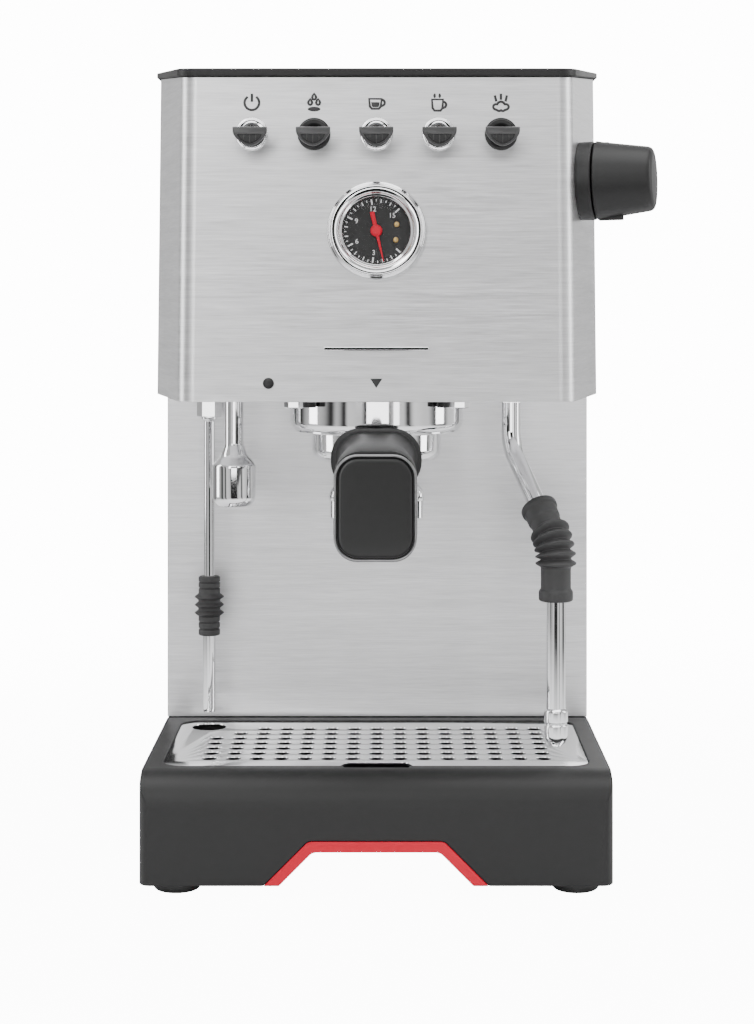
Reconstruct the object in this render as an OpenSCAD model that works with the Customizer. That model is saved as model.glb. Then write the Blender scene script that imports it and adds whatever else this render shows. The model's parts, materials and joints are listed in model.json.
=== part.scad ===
// Counter-top espresso machine: steel head and splash panel on a black drip-tray base, with a
// portafilter group, a steam wand, a hot-water nozzle, a pressure gauge and five toggle levers.
// Work frame: X = 0 on the centre plane, Y = 0 at the base's front face, Z = 0 on the counter.
// on_row() then moves each sub-part so that the origin is the bottom centre of the overall box.

/* [Overall] */
// Width of the base and the body
body_w = 240; // [216:1:288]
// Depth from the base's front face to the rear panel
body_d = 290; // [284:1:348]
// Height of the head's steel at its front edge
head_top = 417; // [405:1:440]
// Height of the head's underside
head_z = 249.5; // [244:0.5:262]
// Height of the drip tray's top rim
base_h = 62; // [54:1:70]
// Thickness of the steel sheets
sheet = 1.2; // [0.8:0.1:1.6]

/* [Feet] */
// Height of a rubber foot below the chassis
foot_h = 6; // [4:0.5:8]
// Diameter of a rubber foot
foot_d = 25; // [20:1:30]
// Distance of a foot's centre from the body's side
foot_inset = 18; // [16:1:20]
// Distance of the front feet from the base's front face
foot_front = 19; // [16:1:40]

/* [Drip tray] */
// Distance from the base's front face to the splash panel
splash_y = 147; // [142:1:160]
// Radius of the base's front top edge
shoulder_r = 18; // [10:1:22]
// Wall thickness of the tray
tray_wall = 3; // [2:0.5:4]
// Width of the black rim beside the grille
rim_w = 10; // [8:1:14]
// Distance from the base's front face to the grille
rim_front = 23; // [19:1:27]
// Width of the finger arch at its foot
arch_w = 114; // [80:1:130]
// Height of the finger arch, outside its lining
arch_h = 22.6; // [16:0.2:26]
// Thickness of the arch's lining
arch_t = 5.5; // [3:0.5:7]
// Depth of the arch's lining
arch_deep = 26; // [15:1:40]
// Pitch of the grille's holes
hole_pitch = 12.5; // [11.5:0.5:13]
// Diameter of a grille hole
hole_d = 8; // [6:0.5:9]
// Thickness of the grille plate
grille_t = 1.5; // [1:0.1:2]
// Height of the well's floor above the counter
well_z = 33; // [31:1:38]

/* [Head] */
// Distance of the head's lower front edge behind the base's front face
head_y = 12; // [8:1:20]
// Backward lean of the front panel, in degrees
lean = 6.13; // [3:0.01:8]
// Half width of the flat front panel
front_half = 92.5; // [88:0.5:94]
// Bend radius between the front panel and a flank
bend_r = 10; // [6:1:12]
// Angle between a flank and the side, in degrees
flank_a = 13.9; // [10:0.1:20]
// Height of the top frame at its front
frame_h = 4.1; // [3:0.1:6]
// Overhang of the top frame over the steel
frame_over = 2; // [1:0.1:3]
// Rise of the top frame from its front to the ends of the flanks
frame_rise = 5.3; // [0:0.1:7]

/* [Controls] */
// Spacing of the toggle levers
toggle_pitch = 32.2; // [28:0.1:34]
// Height of the toggle levers
toggle_z = 387; // [380:1:395]
// Diameter of a toggle's bezel
toggle_d = 17; // [15:0.5:20]
// Width of a toggle's paddle
paddle_w = 17.7; // [14:0.1:20]
// Reach of a toggle's paddle from the panel
paddle_reach = 18; // [15:0.5:22]
// Downward lean of a toggle at rest, in degrees
toggle_rest = 12; // [8:1:14]
// Height of the gauge's centre
gauge_z = 337; // [332:1:345]
// Diameter of the gauge's bezel
gauge_d = 51; // [46:1:56]
// Height of the steam knob's axis where it leaves the flank
knob_z = 364; // [350:1:372]
// Distance of the steam knob's axis from the centre plane, at the flank
knob_x = 108; // [105:1:111]
// Diameter of the steam knob at its base
knob_d = 42; // [34:1:46]
// Diameter of the steam knob at its end
knob_end_d = 33; // [26:1:36]
// Length of the steam knob
knob_l = 31; // [26:1:40]
// Length of the collar behind the steam knob
collar_l = 8; // [5:1:12]
// Diameter of the valve spindle
spindle_d = 8; // [6:0.5:10]

/* [Group and portafilter] */
// Distance of the group's axis behind the base's front face
group_y = 72; // [66:1:78]
// Diameter of the group's bell
bell_d = 93; // [88:1:98]
// Height of the group's bell below the head
bell_h = 18.5; // [17:0.5:22]
// Diameter of the portafilter's bowl
bowl_d = 70; // [66:1:71]
// Height of the bowl's bottom
bowl_z = 215; // [210:1:218]
// Height of the spouts' mouths
spout_z = 184; // [178:1:190]
// Downward slope of the handle, in degrees
handle_a = 8; // [4:0.5:12]
// Distance of the handle's end in front of the base
handle_reach = 98; // [70:1:110]
// Height of the handle's end, at its centre
handle_end_z = 206; // [200:1:212]
// Width of the handle's end
butt_w = 38; // [30:1:44]
// Height of the handle's end
butt_h = 49; // [40:1:54]

/* [Steam wand and water outlets] */
// Distance of the wand's axis from the centre plane
wand_x = 72.4; // [68:0.1:78]
// Distance of the wand's axis behind the base's front face
wand_y = 77; // [72:1:84]
// Diameter of the wand's tube
wand_d = 10; // [8:0.5:11]
// Height of the bend's upper end
wand_z = 231.3; // [226:0.1:236]
// Angle of the wand's slanted stretch from the vertical, in degrees
wand_a = 46; // [35:1:55]
// Sideways offset of the wand's lower end from its axis
wand_out = 49.5; // [42:0.5:56]
// Radius of the wand's bends
wand_r = 22; // [16:1:26]
// Height of the wand's and the drain's lower ends
wand_tip_z = 70; // [68:1:80]
// Direction of the slanted stretch in plan, in degrees from +X
wand_dir = -65.3; // [-80:0.1:-50]
// Distance of the hot-water nozzle from the centre plane
nozzle_x = 77; // [72:1:84]
// Diameter of the hot-water nozzle's body
nozzle_d = 23.3; // [18:0.1:26]
// Distance of the discharge tube from the centre plane
drain_x = 94; // [90:1:98]
// Distance of the discharge tube in front of the splash panel
drain_gap = 25; // [20:1:30]

/* [Tank] */
// Width of the water tank
tank_w = 170; // [140:1:186]
// Depth of the water tank
tank_d = 66; // [50:1:70]
// Wall thickness of the water tank
tank_wall = 2.5; // [2:0.5:4]
// Height of the shelf that the tank stands on
shelf_z = 147; // [142:1:160]

/* [Hidden] */
$fn = 64;
STEEL = [0.78, 0.78, 0.79];
CHROME = [0.88, 0.88, 0.9];
BLACK = [0.19, 0.19, 0.19];
RUBBER = [0.15, 0.15, 0.15];
BRASS = [0.75, 0.6, 0.3];
RED = [0.84, 0.25, 0.33];
// Clearances: between bodies that move past each other, of a running fit, and between fixed pieces
gap = 0.3;
run = 0.05;
fix = 0.2;
big = 600;
half = body_w / 2;
foot_x = half - foot_inset;
foot_rows = [foot_front, body_d - foot_front];
// Front of the top frame, and where the flanks end, both at the height of the steel's top
top_y = head_y + (head_top - head_z) * tan(lean);
flank_v = bend_r * (1 - sin(flank_a)) + (half - front_half - bend_r * cos(flank_a)) / tan(flank_a);
flank_y = head_y + flank_v / cos(lean);
rise_y = flank_y + (head_top - head_z) * tan(lean);
// The knob's axis points out of the flank
knob_turn = -flank_a;
knob_y = panel_y(knob_z) + (knob_x - front_half - bend_r * cos(flank_a)) / tan(flank_a)
    + bend_r * (1 - sin(flank_a));
knob_tip = knob_x + (collar_l + knob_l + fix + gap) * cos(flank_a) + knob_end_d / 2 * sin(flank_a);
// Origin of the row: bottom centre of the overall box
origin_x = (knob_tip - half - frame_over) / 2;
origin_y = (body_d + frame_over - handle_reach) / 2;
// Heights of the group
bell_z = head_z - bell_h;
rim_z = head_z - 8.8;
ear_z = rim_z - 3.7;
bore_r = bowl_d / 2 + 1;
ear_r = bowl_d / 2 + 4.1;
groove_r = ear_r + 0.5;
gasket_in = bowl_d / 2 - 6;
// Hexagon bolts beside the group
bolt_x = 43.3;
bolt_y = 30.5;
// Threaded stub between the bowl and its handle, and the handle's end cap
stub_r = 5.5;
cap_t = 3.8;
cap_y = cap_t / 2 + butt_h / 2 * sin(handle_a) + 0.1;
// Finger arch
// Grille and its seat
grille_w = body_w - 2 * rim_w;
grille_end = splash_y - 11;
grille_z = base_h - 0.5;
grille_r = 11;
drain_y = splash_y - drain_gap;
hole_cols = 15;
hole_rows = 7;
hole_y0 = rim_front + 18.5;
// Rails that the tray slides on
rail_x = half - 21;
rail_w = 34;
rail_t = 5;
// Wand: a bend is a hair thicker than the straights, which reach a little way into it
swell = 0.02;
lap = 0.3;
slant_l = (wand_out - 2 * wand_r * (1 - cos(wand_a))) / sin(wand_a);
wand_low = wand_z - 2 * wand_r * sin(wand_a) - slant_l * cos(wand_a);
// Tank, its lid, and the pin that joins them
tank_y = body_d - 6 - tank_d;
tank_top = head_top - 3;
bar_y = tank_y - 3;
lid_top = head_top + frame_h + frame_rise + 0.2;
lid_t = 3.4;
barrel_r = 2.6;
pin_r = 1.2;
pin_y = tank_y + tank_d - 3.4;
pin_z = lid_top - barrel_r;
ear_x = 60;
ear_w = 8;
// Plates set into the top frame
plate_top = head_top + 2;
// Boilers and pump
brew_r = 40;
cap_z = head_z + 50.7;
steam_r = 33;
steam_x = 35;
steam_y = splash_y + 13;
pump_x = -50;
pump_y = splash_y + 33;
pump_z = base_h + 30;
pump_r = 22;
pump_l = 60;
riser_x = 20 - half;
dial_r = gauge_d / 2 - 6.3;

function panel_y(z) = head_y + (z - head_z) * tan(lean);

module on_row() { translate([-origin_x, -origin_y, 0]) children(); }
// Frame of the leaning front panel at height z: -Y points out of the panel
module on_panel(x, z) { translate([x, panel_y(z), z]) rotate([-lean, 0, 0]) children(); }
// Frame of the steam knob: +Z points out of the flank
module on_flank() {
    translate([knob_x, knob_y, knob_z]) rotate([-lean, 0, 0]) rotate([0, 0, knob_turn]) rotate([0, 90, 0])
        children();
}
module round_rect(w, d, r) {
    square([w - 2 * r, d], center = true);
    square([w, d - 2 * r], center = true);
    for (sx = [-1, 1], sy = [-1, 1]) translate([sx * (w / 2 - r), sy * (d / 2 - r)]) circle(r);
}
module plate(w, d, h, r) { linear_extrude(h) round_rect(w, d, r); }
module ring(r_out, r_in, h) {
    difference() {
        cylinder(r = r_out, h = h);
        translate([0, 0, -1]) cylinder(r = r_in, h = h + 2);
    }
}
module disc_y(r, y0, y1) { translate([0, y0, 0]) rotate([-90, 0, 0]) cylinder(r = r, h = y1 - y0); }
module span(x0, x1, y0, y1, z0, z1) { translate([x0, y0, z0]) cube([x1 - x0, y1 - y0, z1 - z0]); }
// Straight tube between two points, and a pipe with a ball at each bend
module run_between(a, b, r) {
    d = b - a;
    translate(a) rotate([0, acos(d[2] / norm(d)), atan2(d[1], d[0])]) cylinder(r = r, h = norm(d));
}
module pipe(points, r) {
    for (i = [0 : len(points) - 2]) run_between(points[i], points[i + 1], r);
    for (i = [1 : len(points) - 2]) translate(points[i]) sphere(r = r);
}
// Plan outline of the head, inset by t from its outer skin
module head_outline(t, back) {
    tx = front_half + (bend_r - t) * cos(flank_a);
    ty = bend_r - (bend_r - t) * sin(flank_a);
    side = half - t;
    ky = ty + (side - tx) / tan(flank_a);
    polygon([[-front_half, t], [front_half, t], [tx, ty], [side, ky], [side, back], [-side, back], [-side, ky],
        [-tx, ty]]);
    for (s = [-1, 1]) translate([s * front_half, bend_r]) circle(max(bend_r - t, 0.5));
}
// Side outline of the zone under the top frame: the edge rises along the flanks
module under_top(down) {
    end = head_top + frame_rise + 0.9 - down;
    polygon([[-50, -big], [-50, head_top - down], [top_y, head_top - down], [rise_y, end], [big, end],
        [big, -big]]);
}
module along_x() { rotate([90, 0, 90]) translate([0, 0, -big / 2]) linear_extrude(big) children(); }
module leaning(t, back) {
    translate([0, head_y, head_z]) rotate([-lean, 0, 0]) translate([0, 0, -60]) linear_extrude(300)
        head_outline(t, back);
}

// ---------- base ----------
module base_chassis() {
    on_row() color(BLACK) difference() {
        union() {
            translate([0, (splash_y + body_d) / 2, foot_h])
                plate(body_w, body_d - splash_y, base_h - foot_h, 4);
            for (s = [-1, 1]) span(s * rail_x - rail_w / 2, s * rail_x + rail_w / 2, 5, splash_y + 10,
                foot_h + 0.5, foot_h + 0.5 + rail_t);
        }
        span(tray_wall - half, half - tray_wall, splash_y + tray_wall, body_d - tray_wall, foot_h + tray_wall,
            base_h - tray_wall);
        for (x = [-60 : 12 : 60]) span(x - 3, x + 3, splash_y + 30, body_d - 30, foot_h - 1,
            foot_h + tray_wall + 1);
        for (s = [-1, 1], y = foot_rows) translate([s * foot_x, y, foot_h - 1]) cylinder(r = 3 + fix, h = 20);
        translate([0, splash_y + 100, base_h - 10]) cylinder(r = 5, h = 20);
    }
}
module rubber_feet() {
    on_row() color(RUBBER) for (s = [-1, 1], y = foot_rows) translate([s * foot_x, y, 0]) {
        cylinder(r1 = foot_d / 2 - 1, r2 = foot_d / 2, h = 1.5);
        translate([0, 0, 1.5]) cylinder(r = foot_d / 2, h = foot_h - 1.5);
        cylinder(r = 3, h = foot_h + 4.5);
    }
}

// ---------- drip tray ----------
module tray_side() {
    h = base_h - foot_h;
    translate([0, foot_h]) {
        translate([shoulder_r, 0]) square([splash_y - 1.5 - shoulder_r, h]);
        square([splash_y - 1.5, h - shoulder_r]);
        translate([shoulder_r, h - shoulder_r]) circle(shoulder_r);
    }
}
module arch_shape(in) {
    w = arch_w - 2 * in * tan(22.5) - 2 * in;
    h = arch_h - in;
    top = w - 2 * h;
    polygon([[-w / 2 - 2, -2], [w / 2 + 2, -2], [w / 2, 0], [top / 2 + 1.6, h - 1.6],
        [top / 2 + 0.9, h - 0.95], [top / 2, h - 0.45], [top / 2 - 1.6, h], [1.6 - top / 2, h],
        [-top / 2, h - 0.45], [-top / 2 - 0.9, h - 0.95], [-top / 2 - 1.6, h - 1.6], [-w / 2, 0]]);
}
module drip_tray() {
    seat_w = grille_w + 0.8;
    mid = (rim_front + grille_end) / 2;
    seat_d = grille_end - rim_front + 0.8;
    on_row() color(BLACK) difference() {
        intersection() {
            along_x() tray_side();
            translate([0, 200, 0]) plate(body_w, 400, base_h + 5, 6);
        }
        // seat of the grille and the well below it
        translate([0, mid, grille_z - grille_t]) plate(seat_w, seat_d, 10, grille_r + 0.4);
        translate([0, mid, well_z]) plate(grille_w - 6, grille_end - rim_front - 6, 40, 8);
        // finger dip in front of the grille
        translate([0, rim_front + 2, well_z + 8]) plate(34, 14, 40, 3);
        // hollow underside, open to the arch, with room for the chassis rails
        span(tray_wall - half, half - tray_wall, tray_wall, splash_y - 1.5 - tray_wall, foot_h - 2,
            well_z - tray_wall);
        for (s = [-1, 1]) span(s * rail_x - rail_w / 2 - gap, s * rail_x + rail_w / 2 + gap, 20, splash_y + 2,
            foot_h - 1, foot_h + 0.5 + rail_t + gap);
        translate([0, tray_wall + 1, foot_h]) rotate([90, 0, 0]) linear_extrude(tray_wall + 3)
            arch_shape(0);
    }
    on_row() color(BLACK) for (s = [-1, 1]) span(s * rail_x - 2, s * rail_x + 2, tray_wall + 2, splash_y - 6,
        foot_h + 0.5 + rail_t + gap, well_z - tray_wall + 0.5);
}
module grip_trim() {
    on_row() color(RED) translate([0, arch_deep - 0.6, foot_h]) rotate([90, 0, 0]) linear_extrude(arch_deep)
        intersection() {
            difference() {
                arch_shape(0.05);
                arch_shape(arch_t);
            }
            translate([-arch_w, 0.2]) square([2 * arch_w, arch_h]);
        }
}
module drip_grille() {
    mid = (rim_front + grille_end) / 2;
    deep = grille_end - rim_front;
    on_row() color(STEEL) translate([0, 0, grille_z - grille_t]) linear_extrude(grille_t) difference() {
        translate([0, mid]) round_rect(grille_w, deep, grille_r);
        for (c = [0 : hole_cols - 1], r = [0 : hole_rows - 1])
            if (c > 1 || r < hole_rows - 2 || (c == 1 && r == hole_rows - 2))
                translate([(c - (hole_cols - 1) / 2) * hole_pitch, hole_y0 + r * hole_pitch])
                    circle(hole_d / 2);
        translate([-drain_x, drain_y]) circle(9.5);
        translate([0, rim_front]) polygon([[-20, -1], [20, -1], [15.5, 10], [-15.5, 10]]);
    }
}

// ---------- body shell ----------
module splash_panel() {
    on_row() color(STEEL) {
        span(-half, half, splash_y, splash_y + sheet, base_h + fix, head_z - fix);
        for (s = [-1, 1]) span(s * (half - sheet - 2.6) - 1, s * (half - sheet - 2.6) + 1, splash_y + sheet - 0.1,
            splash_y + 14, base_h + 4, head_z - 4);
    }
}
module side_sheet(s) {
    on_row() color(STEEL) intersection() {
        span(s > 0 ? half - sheet : -half, s > 0 ? half : sheet - half, 0, body_d, base_h + fix, big);
        along_x() difference() {
            intersection() {
                under_top(0);
                translate([flank_y + fix, 0]) polygon([[0, 0], [big, 0], [big, big], [big * tan(lean), big],
                    [0, head_z]]);
            }
            square([splash_y + sheet + fix, head_z]);
            translate([flank_y + fix, head_z]) polygon([[-80, 0], [0, 0], [big * tan(lean), big], [-80, big]]);
        }
    }
}
module side_panel_left() { side_sheet(-1); }
module side_panel_right() { side_sheet(1); }
module rear_panel() {
    on_row() color(STEEL) difference() {
        span(fix + sheet - half, half - sheet - fix, body_d - sheet, body_d, base_h + fix, head_top + frame_rise);
        for (i = [0 : 9], s = [-1, 1]) translate([s * 55, 0, 180 + i * 18]) rotate([-90, 0, 0])
            translate([0, 0, body_d - 10]) linear_extrude(20) round_rect(60, 5, 2.4);
        translate([70, body_d, base_h + 28]) rotate([90, 0, 0]) translate([0, 0, -10])
            plate(28.4, 20.4, 20, 3);
    }
}
module head_front_panel() {
    on_row() color(STEEL) difference() {
        intersection() {
            difference() {
                leaning(0, flank_v);
                leaning(sheet, flank_v + 20);
            }
            span(-big, big, -50, big, head_z, big);
            along_x() under_top(0);
        }
        for (i = [-2 : 2]) on_panel(i * toggle_pitch, toggle_z) disc_y(6, -9, 9);
        on_panel(0, gauge_z) disc_y(gauge_d / 2 - 1.5, -9, 9);
        on_panel(-55, head_z + 9.5) disc_y(2.2, -9, 9);
        on_flank() translate([0, 0, -12]) cylinder(r = 8.5, h = 24);
    }
}
module head_underside_plate() {
    on_row() color(STEEL) difference() {
        translate([0, head_y, head_z]) linear_extrude(1.5) intersection() {
            head_outline(sheet + 0.4, splash_y - head_y);
            translate([-big, 0]) square([2 * big, splash_y - head_y - 0.4]);
        }
        translate([0, group_y, head_z - 5]) cylinder(r = 27, h = 20);
        for (s = [-1, 1], dy = [-bolt_y, bolt_y]) translate([s * bolt_x, group_y + dy, head_z - 5])
            cylinder(r = 3.2, h = 20);
        translate([wand_x, wand_y, head_z - 5]) cylinder(r = 7.5, h = 20);
        translate([-nozzle_x, wand_y, head_z - 5]) cylinder(r = 5.2, h = 20);
        translate([-drain_x, drain_y, head_z - 5]) cylinder(r = 4.2, h = 20);
    }
}
module top_frame() {
    on_row() color(BLACK) difference() {
        intersection() {
            translate([0, top_y, head_top - 5]) linear_extrude(30)
                head_outline(-frame_over, body_d + frame_over - top_y);
            along_x() polygon([[-20, head_top + 0.2], [top_y, head_top + 0.2],
                [rise_y, head_top + frame_rise + 1.1], [big, head_top + frame_rise + 1.1], [big, lid_top],
                [rise_y, lid_top], [top_y - frame_over, head_top + frame_h + 0.2], [-20, head_top + frame_h]]);
        }
        // recess of the cup warmer and the mouth of the tank well
        translate([0, top_y + 9, 0]) linear_extrude(big) intersection() {
            head_outline(9, big);
            translate([-big, 0]) square([2 * big, bar_y - 6 - top_y - 9]);
        }
        span(-tank_w / 2 - 2.5, tank_w / 2 + 2.5, tank_y - 2.5, tank_y + tank_d + 0.6, head_top, big);
    }
}
module cup_warmer_plate() {
    slot_y0 = top_y + 34;
    rows = floor((bar_y - 20 - slot_y0) / 14);
    on_row() color(STEEL) difference() {
        translate([0, top_y + 9, plate_top - sheet]) linear_extrude(sheet) intersection() {
            head_outline(9.4, big);
            translate([-big, 0.4]) square([2 * big, bar_y - 6.4 - top_y - 9.4]);
        }
        for (r = [0 : rows], c = [-4 : 4]) translate([c * 20, slot_y0 + r * 14, plate_top - 5])
            plate(12, 4, 10, 1.9);
    }
    on_row() color(STEEL) for (s = [-1, 1]) span(s * 90 - 2, s * 90 + 2, top_y + 30, bar_y - 20,
        plate_top - 16, plate_top - sheet);
}

// ---------- controls ----------
module toggle_bezel(i) {
    on_row() on_panel(i * toggle_pitch, toggle_z) difference() {
        union() {
            disc_y(toggle_d / 2, -1.6, 0);
            disc_y(toggle_d / 2 - 1, -2.2, -1.6);
            disc_y(5.8, 0, 8);
        }
        sphere(r = 3 + run);
        translate([-2.6, -4, -3.6]) cube([5.2, 4, 7.2]);
        disc_y(2.4, 0, 9);
    }
}
module toggle_bezels_chrome() { color(CHROME) for (i = [-2, 0, 1]) toggle_bezel(i); }
module toggle_bezels_black() { color(BLACK) for (i = [-1, 2]) toggle_bezel(i); }
module toggle_switch_bodies() {
    color([0.3, 0.3, 0.32]) on_row() for (i = [-2 : 2]) on_panel(i * toggle_pitch, toggle_z) {
        span(-7, 7, 8 + fix, 27, -11, 11);
        for (z = [-7, 0, 7]) span(-0.4, 0.4, 27, 34, z - 2.4, z + 2.4);
    }
}
// Outline of a paddle's face: flat top edge, narrowing to a rounded keel
module paddle_face() {
    polygon([[-paddle_w / 2, 4.4], [paddle_w / 2, 4.4], [paddle_w / 2, 0.8], [3.2, -5.2], [0, -6.1], [-3.2, -5.2],
        [-paddle_w / 2, 0.8]]);
}
module toggle_lever(i) {
    color(BLACK) on_row() on_panel(i * toggle_pitch, toggle_z) rotate([toggle_rest, 0, 0]) {
        sphere(r = 3);
        disc_y(2.2, -7, 0);
        difference() {
            hull() {
                translate([0, 4 - paddle_reach, 0]) rotate([90, 0, 0]) linear_extrude(4) paddle_face();
                translate([0, -6.5, 0]) rotate([90, 0, 0]) cylinder(r = 3.4, h = 2, $fn = 32);
            }
            translate([0, 1.6 - paddle_reach, -1.4]) rotate([90, 0, 0]) linear_extrude(9) scale([0.68, 0.5])
                paddle_face();
        }
    }
}
module toggle_lever_1() { toggle_lever(-2); }
module toggle_lever_2() { toggle_lever(-1); }
module toggle_lever_3() { toggle_lever(0); }
module toggle_lever_4() { toggle_lever(1); }
module toggle_lever_5() { toggle_lever(2); }

module on_gauge() { on_row() on_panel(0, gauge_z) children(); }
module gauge_bezel() {
    color(CHROME) on_gauge() difference() {
        union() {
            disc_y(gauge_d / 2, -3.4, 0);
            disc_y(gauge_d / 2 - 1.4, -5, -3.4);
            disc_y(gauge_d / 2 - 1.7, 0, 4);
        }
        disc_y(dial_r - 1.6, -6, 5);
        disc_y(dial_r + fix, -3.4, 5);
    }
}
module gauge_case() {
    color(BLACK) on_gauge() difference() {
        union() {
            disc_y(gauge_d / 2 - 2, 4 + fix, 30);
            disc_y(4, 30, 34);
        }
        disc_y(gauge_d / 2 - 4, 3, 28);
    }
}
module gauge_dial() {
    color([0.23, 0.23, 0.23]) on_gauge() difference() {
        disc_y(dial_r, 0, 0.8);
        disc_y(0.8 + run, -1, 2);
    }
}
module gauge_lens() { color([0.9, 0.95, 0.95, 0.3]) on_gauge() disc_y(dial_r, -3.3, -2.5); }
module gauge_needle() {
    color(RED) on_gauge() {
        disc_y(3.1, -2.1, -0.5);
        disc_y(0.8, -0.6, 6);
        rotate([0, -13, 0]) translate([0, -1, 0]) rotate([90, 0, 0]) linear_extrude(0.6)
            polygon([[-1.5, 9], [1.5, 9], [0.9, 0], [0.25, 4 - dial_r], [-0.25, 4 - dial_r], [-0.9, 0]]);
    }
}
module indicator_lamp() {
    color([0.08, 0.08, 0.08]) on_row() on_panel(-55, head_z + 9.5) {
        disc_y(2.85, -1, 0);
        disc_y(2, 0, 8);
    }
}
module knob_collar() {
    color(BLACK) on_row() on_flank() difference() {
        union() {
            cylinder(r = knob_d / 2 - 0.4, h = collar_l);
            translate([0, 0, -6]) cylinder(r = 8.3, h = 6);
        }
        translate([0, 0, -10]) cylinder(r = spindle_d / 2 + run, h = 40);
    }
}
module steam_knob() {
    color(BLACK) on_row() on_flank() translate([0, 0, collar_l + gap]) {
        difference() {
            union() {
                cylinder(r1 = knob_d / 2, r2 = knob_end_d / 2 + 1, h = knob_l - 2);
                translate([0, 0, knob_l - 2])
                    cylinder(r1 = knob_end_d / 2 + 1, r2 = knob_end_d / 2 - 2, h = 2);
                translate([knob_d / 2 - 1.5, -1.5, 1]) cube([3, 3, 14]);
            }
            translate([0, 0, -1]) cylinder(r = spindle_d / 2, h = 17);
        }
    }
}
module steam_valve_spindle() {
    color(BRASS) on_row() on_flank() translate([0, 0, -16])
        cylinder(r = spindle_d / 2, h = 16 + collar_l + gap + 16);
}

// ---------- group ----------
module group_head() {
    color(CHROME) on_row() translate([0, group_y, 0]) difference() {
        rotate_extrude($fn = 96) {
            translate([0, bell_z]) square([bell_d / 2 - 6, bell_h - fix]);
            translate([0, bell_z + 6]) square([bell_d / 2, bell_h - 6 - fix]);
            translate([bell_d / 2 - 6, bell_z + 6]) circle(6);
        }
        translate([0, 0, bell_z - 1]) cylinder(r = bore_r, h = head_z - 2.3 - bell_z + 1);
        translate([0, 0, ear_z - gap]) cylinder(r = groove_r, h = rim_z - ear_z + gap);
        translate([0, 0, head_z - 6]) cylinder(r = gasket_in - 3, h = 8);
        rotate([0, 0, -45]) intersection() {
            translate([0, 0, bell_z - 1]) cylinder(r = groove_r, h = ear_z - bell_z + 1);
            span(-50, 50, -13, 13, bell_z - 1, ear_z);
        }
    }
}
module group_gasket() {
    color(RUBBER) on_row() translate([0, group_y, rim_z + gap])
        ring(bore_r - 0.2, gasket_in + 0.3, head_z - 2.3 - fix
        - rim_z - gap);
}
module shower_screen() {
    color(STEEL) on_row() translate([0, group_y, 0]) difference() {
        union() {
            translate([0, 0, head_z - 6]) cylinder(r = gasket_in, h = 3.4);
            translate([0, 0, head_z - 2.6]) cylinder(r = gasket_in - 3.2, h = 2.2);
            translate([0, 0, head_z - 7.2]) cylinder(r = 4, h = 1.3);
        }
        for (ring_r = [10, 16, 22], a = [0 : 30 : 330]) rotate([0, 0, a]) translate([ring_r, 0, head_z - 7])
            cylinder(r = 0.9, h = 4, $fn = 16);
    }
}
module group_bolts() {
    color(CHROME) on_row() for (s = [-1, 1], y = [-bolt_y, bolt_y]) translate([s * bolt_x, group_y + y, 0]) {
        translate([0, 0, head_z - 4.8]) cylinder(r = 5, h = 4.6, $fn = 6);
        translate([0, 0, head_z - 0.3]) cylinder(r = 3, h = 9);
    }
}
module brew_boiler() {
    color(BRASS) on_row() translate([0, group_y, head_z + 1.7]) difference() {
        cylinder(r = brew_r, h = 48.8);
        translate([0, 0, 8]) cylinder(r = brew_r - 4, h = 60);
        translate([0, 0, -1]) cylinder(r = 3, h = 20);
    }
}
module boiler_cap() {
    color(BRASS) on_row() translate([0, group_y, cap_z]) {
        cylinder(r = brew_r, h = 6);
        for (a = [45 : 90 : 315]) rotate([0, 0, a]) translate([brew_r - 7, 0, 6])
            cylinder(r = 4.5, h = 3.4, $fn = 6);
        for (x = [-9, 9]) translate([x, 24, 6]) cylinder(r = 3, h = 12);
        translate([0, 0, -30]) ring(26, 19.5, 25);
        for (s = [-1, 1]) translate([s * 22.7, 0, -5.5]) cylinder(r = 2.5, h = 6);
    }
}
module portafilter_bowl() {
    cup_r = bowl_d / 2 - 4.5;
    hz = handle_end_z + (handle_reach + 22) * tan(handle_a);
    color(CHROME) on_row() difference() {
        union() {
            translate([0, group_y, 0]) rotate_extrude($fn = 96) {
                translate([0, bowl_z]) square([bowl_d / 2 - 7, rim_z - bowl_z]);
                translate([0, bowl_z + 7]) square([bowl_d / 2, rim_z - bowl_z - 7]);
                translate([bowl_d / 2 - 7, bowl_z + 7]) circle(7);
                translate([0, bowl_z - 9]) square([9, 12]);
            }
            intersection() {
                translate([0, group_y, ear_z]) cylinder(r = ear_r, h = rim_z - ear_z - gap);
                span(-60, 60, group_y - 12, group_y + 12, ear_z, rim_z);
            }
            run_between([0, group_y - bowl_d / 2 + 3, hz], [0, 14, hz - 28 * tan(handle_a)], stub_r);
        }
        translate([0, group_y, bowl_z + 4]) cylinder(r = cup_r, h = 60);
        translate([0, group_y, bowl_z - 20]) cylinder(r = 4, h = 40);
    }
}
module filter_basket() {
    cup_r = bowl_d / 2 - 5;
    color(STEEL) on_row() translate([0, group_y, 0]) difference() {
        translate([0, 0, bowl_z + 6]) cylinder(r = cup_r, h = rim_z - bowl_z - 6.2);
        translate([0, 0, bowl_z + 7]) cylinder(r = cup_r - 0.8, h = 60);
        for (x = [-18 : 6 : 18], y = [-18 : 6 : 18]) translate([x, y, bowl_z])
            cylinder(r = 0.7, h = 10, $fn = 13);
    }
}
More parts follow.
